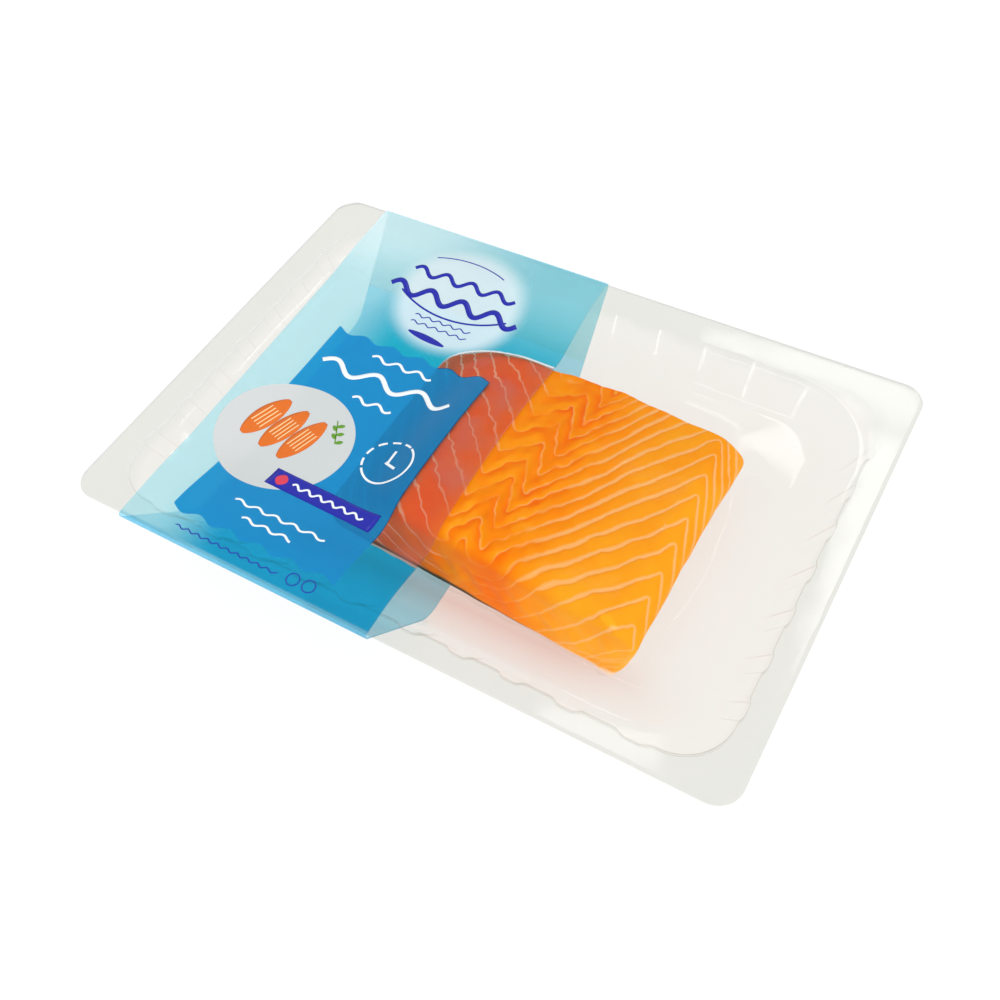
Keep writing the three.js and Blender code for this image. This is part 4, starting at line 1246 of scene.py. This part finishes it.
TEAL = ((0.02, 0.66, 0.80, 1), paint(0, 178, 206), 0.25)
DEEP_BLUE = ((0.02, 0.58, 0.84, 1), paint(0, 148, 204))
PALE_BLUE = ((0.60, 0.90, 0.97, 1), paint(178, 228, 240))
PAINTED_GLARE = ((0.80, 0.96, 1.0, 1), paint(214, 246, 252), 0.55)
GLOW = ((0.88, 0.96, 0.98, 1), paint(226, 240, 247), 0.6)
FISH_TINT, HIGHLIT_FISH_TINT, BLOOM = (0.93, 0.70, 0.60, 1), (0.92, 0.82, 0.84, 1), paint(200, 122, 116)
EDGE_HIGHLIGHT = ((0.95, 0.95, 0.95, 1), paint(242, 234, 232), 0.75)
PANEL_BLUE, PANEL_OUTLINE_AND_SHADOW = ((0.03, 0.52, 0.84, 1), paint(0, 132, 196), 0.72), paint(0, 62, 118)
PLATE_GREY = ((0.7, 0.7, 0.7, 1), paint(206, 210, 210), 0.95)
UNDER_BLUE = ((0.44, 0.80, 0.96, 1), paint(110, 190, 216), 0.10)
CLEAR = ((0.99, 0.99, 0.99, 1), paint(240, 240, 240), 0.0)


def printed_film():
    """Blue ink in clear film, with a window, panel, plate and pale oval, under an even gloss.
    Painted light is inked in too: painted highlights as a whitish glare at the back left, a
    paler, pinker window at the fish's thin end and a white line along the window's back edge; a
    paler print towards the back and left that is partly painted highlight; and painted shadow in
    the panel's dark outline over the fish.
    """
    material, tree = new_material("printed_sleeve")
    soft = 0.12

    def mask(name):
        return step(tree, field(tree, name), -soft, soft)
    # pale is a paler print towards the back and the left, partly a painted highlight where the film there
    # mirrors light
    pale, deep = field(tree, "pale"), field(tree, "deep")
    tint = between(tree, pale, between(tree, deep, TEAL[0], DEEP_BLUE[0]), PALE_BLUE[0])
    ink = between(tree, pale, between(tree, deep, TEAL[1], DEEP_BLUE[1]), PALE_BLUE[1])
    # Painted highlight: a whitish glare laid in as ink at the back left
    layers = ink_layer(tree, field(tree, "glare"), (tint, ink, TEAL[2]), PAINTED_GLARE)
    layers = ink_layer(tree, step(tree, field(tree, "oval"), -2.0, 7.0), layers, GLOW)
    window = mask("window")
    # Painted highlight: the window goes paler and pinker towards the fish's thin left end
    fish_tint = between(tree, field(tree, "window_glare"), FISH_TINT, HIGHLIT_FISH_TINT)
    bloom = times(tree, step(tree, noise(tree, 55.0), 0.42, 0.72), 0.24)
    layers = ink_layer(tree, window, layers, (fish_tint, BLOOM, plus(tree, bloom, 0.10)))
    # Painted highlight: a white line along the window's back edge, where the film over the fish's back edge
    # catches the light
    outer_edge = step(tree, field(tree, "window"), -0.45, -0.1)
    edge_highlight = less(tree, outer_edge, step(tree, field(tree, "window"), 0.0, 0.35))
    edge_highlight = times(tree, edge_highlight, field(tree, "edge_highlight_share"))
    layers = ink_layer(tree, edge_highlight, layers, EDGE_HIGHLIGHT)
    layers = ink_layer(tree, mask("panel"), layers, PANEL_BLUE)
    # A dark band inside the panel's edge where it lies over the fish: partly printed outline, partly
    # painted shadow
    outline_and_shadow = less(tree, mask("panel"), step(tree, field(tree, "panel"), 0.25, 0.5))
    outline_and_shadow = times(tree, outline_and_shadow, window)
    layers = (layers[0], between(tree, outline_and_shadow, layers[1], PANEL_OUTLINE_AND_SHADOW), layers[2])
    layers = ink_layer(tree, mask("plate"), layers, PLATE_GREY)
    layers = ink_layer(tree, field(tree, "under"), layers, UNDER_BLUE)
    layers = ink_layer(tree, field(tree, "plain"), layers, CLEAR)
    uneven = bumped(tree, noise(tree, 40.0, 0.0), 0.0003, 1.0)
    clear = put(tree, "ShaderNodeBsdfTransparent", {"Color": layers[0]})
    ink = put(tree, "ShaderNodeBsdfPrincipled", {
        "Base Color": layers[1], "Roughness": 0.45, "Specular IOR Level": 0.1})
    film = put(tree, "ShaderNodeMixShader", {0: layers[2], 1: clear.outputs[0], 2: ink.outputs[0]})
    mirror = put(tree, "ShaderNodeBsdfPrincipled", {
        "Base Color": (0.96, 0.96, 0.96, 1), "Metallic": 1.0, "Roughness": 0.08, "Normal": uneven})
    share = mirror_share(tree, HEAD_ON_SHARE, uneven)
    mixed = put(tree, "ShaderNodeMixShader", {0: share, 1: film.outputs[0], 2: mirror.outputs[0]})
    finish_material(tree, mixed.outputs[0])
    print("print material", len(tree.nodes), "nodes")
    return material


# %% The sleeve with its printed shapes
sleeve = make_piece("printed_sleeve", sleeve_points, sleeve_faces, printed_film(), "sleeve")
shapes = {
    "panel": inside_panel(flat_x, flat_y, **PANEL),
    "plate": inside_disc(flat_x, flat_y, **PLATE),
    "oval": inside_disc(flat_x, flat_y, **OVAL),
    "window": inside_window(sleeve_points),
}
for name, inside in shapes.items():
    add_field(sleeve, name, np.where(is_outer_top, inside, FAR_OUT))
    print(name, "over", int((is_outer_top * (inside > 0)).sum()), "points")
# Where the painted highlight along the window's edge is drawn: at its back
add_field(sleeve, "edge_highlight_share", smoothstep(flat_y, 26, 36))
# Where the window's painted highlight lies: its left end
add_field(sleeve, "window_glare", 1 - smoothstep(flat_x, -56, -28))
add_field(sleeve, "under", is_under * ~is_inner)
add_field(sleeve, "plain", is_inner)
# Paler print towards the back and the left, partly painted highlight
pale = np.clip(smoothstep(flat_y, 34, 78) * 0.85 + smoothstep(-flat_x, 64, 95), 0, 1)
add_field(sleeve, "pale", pale)
# Where the painted glare lies: the back left
add_field(sleeve, "glare", smoothstep(flat_y, 48, 80) * smoothstep(-flat_x, 20, 90))
add_field(sleeve, "deep", smoothstep(-flat_y, 40, 68) * (1 - pale))

# %% [markdown]
# ## Fine print
#
# The small printed shapes are opaque ink: white waves and a ring with clock hands on the panel,
# dark waves and arcs on the oval, a bare dark band, and slices of fish with a sprig on the plate.
# They are narrow strips carried along a path and draped just over the sleeve, so that they stay
# crisp. No words are drawn.

# %% Strips draped over the sleeve
INK_LIFT, INK_SINK, SECOND_LIFT = 0.05, 0.01, 0.03
LEAF_POINT = 0.6


def opaque_ink(name, colour):
    """Solid glossy ink with a faint unevenness."""
    material, tree = new_material(name)
    brighter = (*(min(1, part * 1.1) for part in colour[:3]), 1)
    mottled = between(tree, noise(tree, 300.0), colour, brighter)
    ink = put(tree, "ShaderNodeBsdfPrincipled", {"Base Color": mottled, "Roughness": 0.2, "IOR": 1.4})
    finish_material(tree, ink.outputs[0])
    return material


def strip(path, width, columns=3):
    """A band of a width carried along a path in plan, as a grid of places."""
    ahead = np.gradient(path, axis=0)
    ahead /= np.hypot(*ahead.T)[:, None]
    across = np.stack([-ahead[:, 1], ahead[:, 0]], axis=-1)
    widths = np.broadcast_to(width, len(path))[None, :, None]
    offsets = np.linspace(-0.5, 0.5, columns)[:, None, None] * widths
    return path[None] + across[None] * offsets[::-1]


def drape(name, grids, material, lift=0.0):
    """One piece of several grids, each laid over the sleeve as a thin closed shell."""
    points, faces = [], []
    for grid in grids:
        z = sleeve_top_z(grid[..., 0], grid[..., 1])
        upper = np.dstack([grid, z + INK_LIFT + lift])
        lower = np.dstack([grid, z + INK_SINK + lift])
        shell_points, shell_faces = sheet_shell(upper, lower)
        start = sum(len(done) for done in points)
        points.append(shell_points)
        faces.extend((np.array(shell_faces) + start).tolist())
    return make_piece(name, np.concatenate(points), faces, material)


def wave_path(x0, x1, y, height, length, lean=0.0):
    """A level sine wave from x0 to x1."""
    x = np.linspace(x0, x1, 90)
    return np.stack([x, y + height * np.sin(2 * np.pi * (x - x0) / length) + lean * (x - x0)], axis=-1)


def arc_path(centre, radius, start, end):
    """Part of a circle, its angles in degrees."""
    angle = np.radians(np.linspace(start, end, 60))
    return np.stack([centre[0] + radius * np.cos(angle), centre[1] + radius * np.sin(angle)], axis=-1)


def line_path(start, end):
    """A straight line."""
    share = np.linspace(0, 1, 24)[:, None]
    return np.array(start) * (1 - share) + np.array(end) * share


def leaf(start, end, width, columns=5):
    """A pointed oval from start to end."""
    path = line_path(start, end)
    share = np.linspace(0.02, 0.98, len(path))
    return strip(path, width * np.sin(np.pi * share) ** LEAF_POINT, columns)


print("ink lies", INK_LIFT, "mm over the sleeve")

# %% The white and dark print
DIAL, DIAL_RADIUS, DIAL_WIDTH = (-33.0, -25.0), 10, 0.9
RIBBON, RIBBON_WIDTH = ((-69.0, -49.0), (-21.5, -50.5)), 8.2
# Waves as x0, x1, y, height and length, and then the line's width
WHITE_WAVES = [
    (-86, -26, 7.6, 2.9, 20.0, 2.0), (-69, -41, 18.0, 1.2, 9.5, 1.1), (-64, -46, -3.4, 1.2, 9.0, 1.1),
    (-72, -32, -65.5, 0.8, 8.0, 0.9), (-64, -42, -71.5, 0.8, 8.0, 0.9)]
DARK_WAVES = [
    (-78, -30, 65.5, 1.9, 12.0, 1.7), (-84, -24, 55.5, 2.6, 15.0, 2.3), (-66, -40, 45.5, 0.6, 5.0, 0.5),
    (-66, -40, 42.0, 0.6, 5.0, 0.5), (-83, -38, -85.2, 0.5, 4.4, 0.45)]
HANDS = [((0, -1), (0, 6)), ((-1, 0), (4.5, -2))]
white = [strip(wave_path(*wave), width) for *wave, width in WHITE_WAVES]
white += [strip(arc_path(DIAL, DIAL_RADIUS, start, start + 20), DIAL_WIDTH) for start in range(60, 220, 32)]
white += [strip(arc_path(DIAL, DIAL_RADIUS, 215, 415), DIAL_WIDTH)]
white += [strip(line_path(*(np.add(DIAL, end) for end in hand)), 1.1) for hand in HANDS]
dark = [strip(wave_path(*wave), width) for *wave, width in DARK_WAVES]
dark += [strip(arc_path((-56, 34), 43, 68, 112), 0.5), strip(arc_path((-54, 96), 48, 240, 302), 0.8)]
dark += [leaf((-64, 37), (-46, 35), 3.2)]
dark += [strip(arc_path(centre, 2.4, 0, 360), 0.4) for centre in ((-31.5, -84.4), (-25.0, -84.2))]
dark += [strip(line_path(*RIBBON), RIBBON_WIDTH, 8)]
white_ink = opaque_ink("white_ink", paint(238, 244, 248))
red_ink = opaque_ink("red_ink", paint(214, 60, 84))
ribbon_wave = strip(wave_path(-59, -27, -49.3, 0.9, 5.3, -0.03), 0.9)
drape("print_white", white, white_ink)
drape("print_dark", dark, opaque_ink("dark_ink", paint(24, 32, 160)))
drape("print_ribbon_wave", [ribbon_wave], white_ink, lift=SECOND_LIFT)
drape("print_dot", [leaf((-66.6, -49.1), (-61.6, -49.2), 5.2, 7)], red_ink, lift=SECOND_LIFT)

# %% The slices on the plate
SLICE_CENTRES = [(-88.0, -27.0), (-78.5, -28.5), (-69.0, -30.0)]
SLICE_HALF, SLICE_WIDTH = (3.6, 11.0), 9.4
FAT_ENDS, FAT_WIDTH = 0.28, 0.5
slices, fat = [], []
for centre_x, centre_y in SLICE_CENTRES:
    low = np.array([centre_x - SLICE_HALF[0], centre_y - SLICE_HALF[1]])
    high = np.array([centre_x + SLICE_HALF[0], centre_y + SLICE_HALF[1]])
    slices.append(leaf(low, high, SLICE_WIDTH, 7))
    inset = (high - low) * FAT_ENDS
    for offset in (-2.4, -0.8, 0.8, 2.4):
        shift = np.array([offset, -0.3 * offset])
        fat.append(strip(line_path(low + inset + shift, high - inset + shift), FAT_WIDTH))
stem = line_path((-62, -16), (-56.5, -26))
sprig = [strip(stem, 0.5)]
for place, side in ((6, 1), (10, -1), (14, 1), (18, -1), (22, 1)):
    sprig.append(leaf(stem[place], stem[place] + np.array([2.6 * side, 1.7]), 1.7))
drape("print_slices", slices, opaque_ink("orange_ink", paint(218, 108, 28)))
drape("print_fat_lines", fat, opaque_ink("cream_ink", paint(248, 206, 150)), lift=SECOND_LIFT)
drape("print_sprig", sprig, opaque_ink("green_ink", paint(96, 150, 40)))

# %% [markdown]
# ## Floor, light and camera
#
# The pack stands on a plain white floor that glows a little, as a light table does. Clear plastic
# is seen mostly by what it mirrors, so each glossy patch of the photo has its own lamp: a tall
# strip and a low box behind for the flange, a round one for the film, one for the front flange,
# and one low at the front right for the flutes. A lamp's direction follows from the mirror rule:
# it is the line of sight, turned over at the surface. Broad boxes above, at the right and at the
# front fill the shadows. They aren't mirrored, since they would veil the print, and the room
# adds an even pale light.

# %% Floor
floor_mesh = bpy.data.meshes.new("floor")
FLOOR_HALF, FLOOR_GREY, FLOOR_GLOW = 3.0, 0.13, 0.92
floor_corners = [(x * FLOOR_HALF, y * FLOOR_HALF, 0) for x, y in ((-1, -1), (1, -1), (1, 1), (-1, 1))]
floor_mesh.from_pydata(floor_corners, [], [(0, 1, 2, 3)])
floor = bpy.data.objects.new("floor", floor_mesh)
bpy.context.scene.collection.objects.link(floor)
floor_paint, tree = new_material("white_floor")
matt = put(tree, "ShaderNodeBsdfPrincipled", {
    "Base Color": (FLOOR_GREY, FLOOR_GREY, FLOOR_GREY, 1), "Roughness": 0.9, "Specular IOR Level": 0.0,
    "Emission Color": (1, 1, 1, 1), "Emission Strength": FLOOR_GLOW})
finish_material(tree, matt.outputs[0])
floor_mesh.materials.append(floor_paint)
print("floor", 2 * FLOOR_HALF, "m wide")

# %% Light
ROOM_LIGHT, LAMP_DISTANCE = 0.72, 1.7
world = bpy.data.worlds.new("studio")
world.use_nodes = True
world.node_tree.nodes["Background"].inputs[0].default_value = (1, 1, 1, 1)
world.node_tree.nodes["Background"].inputs[1].default_value = ROOM_LIGHT
bpy.context.scene.world = world


def soft_box(name, aim, direction, width, height, brightness, shape="RECTANGLE", mirrored=True):
    """An area light that faces aim, a place in metres, from a direction, its power set so that
    its face has that brightness. A filling light isn't mirrored."""
    lamp = bpy.data.lights.new(name, "AREA")
    lamp.shape = shape
    lamp.size = width
    lamp.size_y = height
    lamp.energy = brightness * np.pi * width * height
    box = bpy.data.objects.new(name, lamp)
    towards = Vector(direction).normalized()
    box.location = Vector(aim) + towards * LAMP_DISTANCE
    box.rotation_euler = (-towards).to_track_quat("-Z", "Y").to_euler()
    box.visible_glossy = mirrored
    bpy.context.scene.collection.objects.link(box)
    print(name, width, "by", height, "m, brightness", brightness)


RIGHT_FLANGE, BACK_FLANGE = (0.130, 0.006, 0.036), (0.093, 0.0795, 0.036)
FRONT_FLANGE, FILM_PATCH = (0.085, -0.086, 0.036), (0.0905, 0.0465, 0.031)
BACK_FLUTES, MIDDLE = (0.07, 0.07, 0.02), (0.0, 0.0, 0.02)
soft_box("box_behind", RIGHT_FLANGE, (-0.053, 0.558, 0.828), 0.06, 0.54, 8.0)
soft_box("box_behind_low", BACK_FLANGE, (-0.131, 0.674, 0.727), 0.46, 0.10, 6.0)
soft_box("box_on_film", FILM_PATCH, (-0.1425, 0.6226, 0.7697), 0.20, 0.065, 7.0, shape="ELLIPSE")
soft_box("box_over_front", FRONT_FLANGE, (-0.187, 0.364, 0.912), 0.22, 0.12, 5.0)
soft_box("box_front_right", BACK_FLUTES, (0.66, -0.74, 0.12), 0.7, 0.35, 12.0)
soft_box("box_top", MIDDLE, (0.0, 0.1, 0.99), 1.2, 1.2, 1.4, mirrored=False)
soft_box("box_right", MIDDLE, (0.85, 0.11, 0.51), 1.0, 0.8, 1.8, mirrored=False)
soft_box("box_front", MIDDLE, (0.0, -0.93, 0.36), 1.6, 0.8, 1.3, mirrored=False)

# %% Camera
FOCAL_LENGTH, SENSOR = 39.88, 36.0
camera_right = Vector((0.86334, 0.49922, -0.07360))
camera_up = Vector((-0.36610, 0.72004, 0.58950))
camera_view = Vector((-0.34729, 0.48200, -0.80441))
lens = bpy.data.cameras.new("camera")
lens.lens = FOCAL_LENGTH
lens.sensor_width = SENSOR
lens.sensor_fit = "HORIZONTAL"
lens.clip_start = 0.01
camera = bpy.data.objects.new("camera", lens)
turned = Matrix((camera_right, camera_up, -camera_view)).transposed().to_4x4()
camera.matrix_world = Matrix.Translation(EYE * MM) @ turned
bpy.context.scene.collection.objects.link(camera)
bpy.context.scene.camera = camera
print("camera", [round(part, 3) for part in camera.matrix_world.translation], "m")

# %% Colours as they are, and light through many clear sheets
CLEAR_FACES, LIGHT_TURNS = 32, 2
bpy.context.scene.view_settings.view_transform = "Standard"
bpy.context.scene.cycles.transparent_max_bounces = CLEAR_FACES
bpy.context.scene.cycles.diffuse_bounces = LIGHT_TURNS
bpy.context.scene.cycles.glossy_bounces = LIGHT_TURNS
print("light goes through up to", CLEAR_FACES, "faces and turns", LIGHT_TURNS, "times")
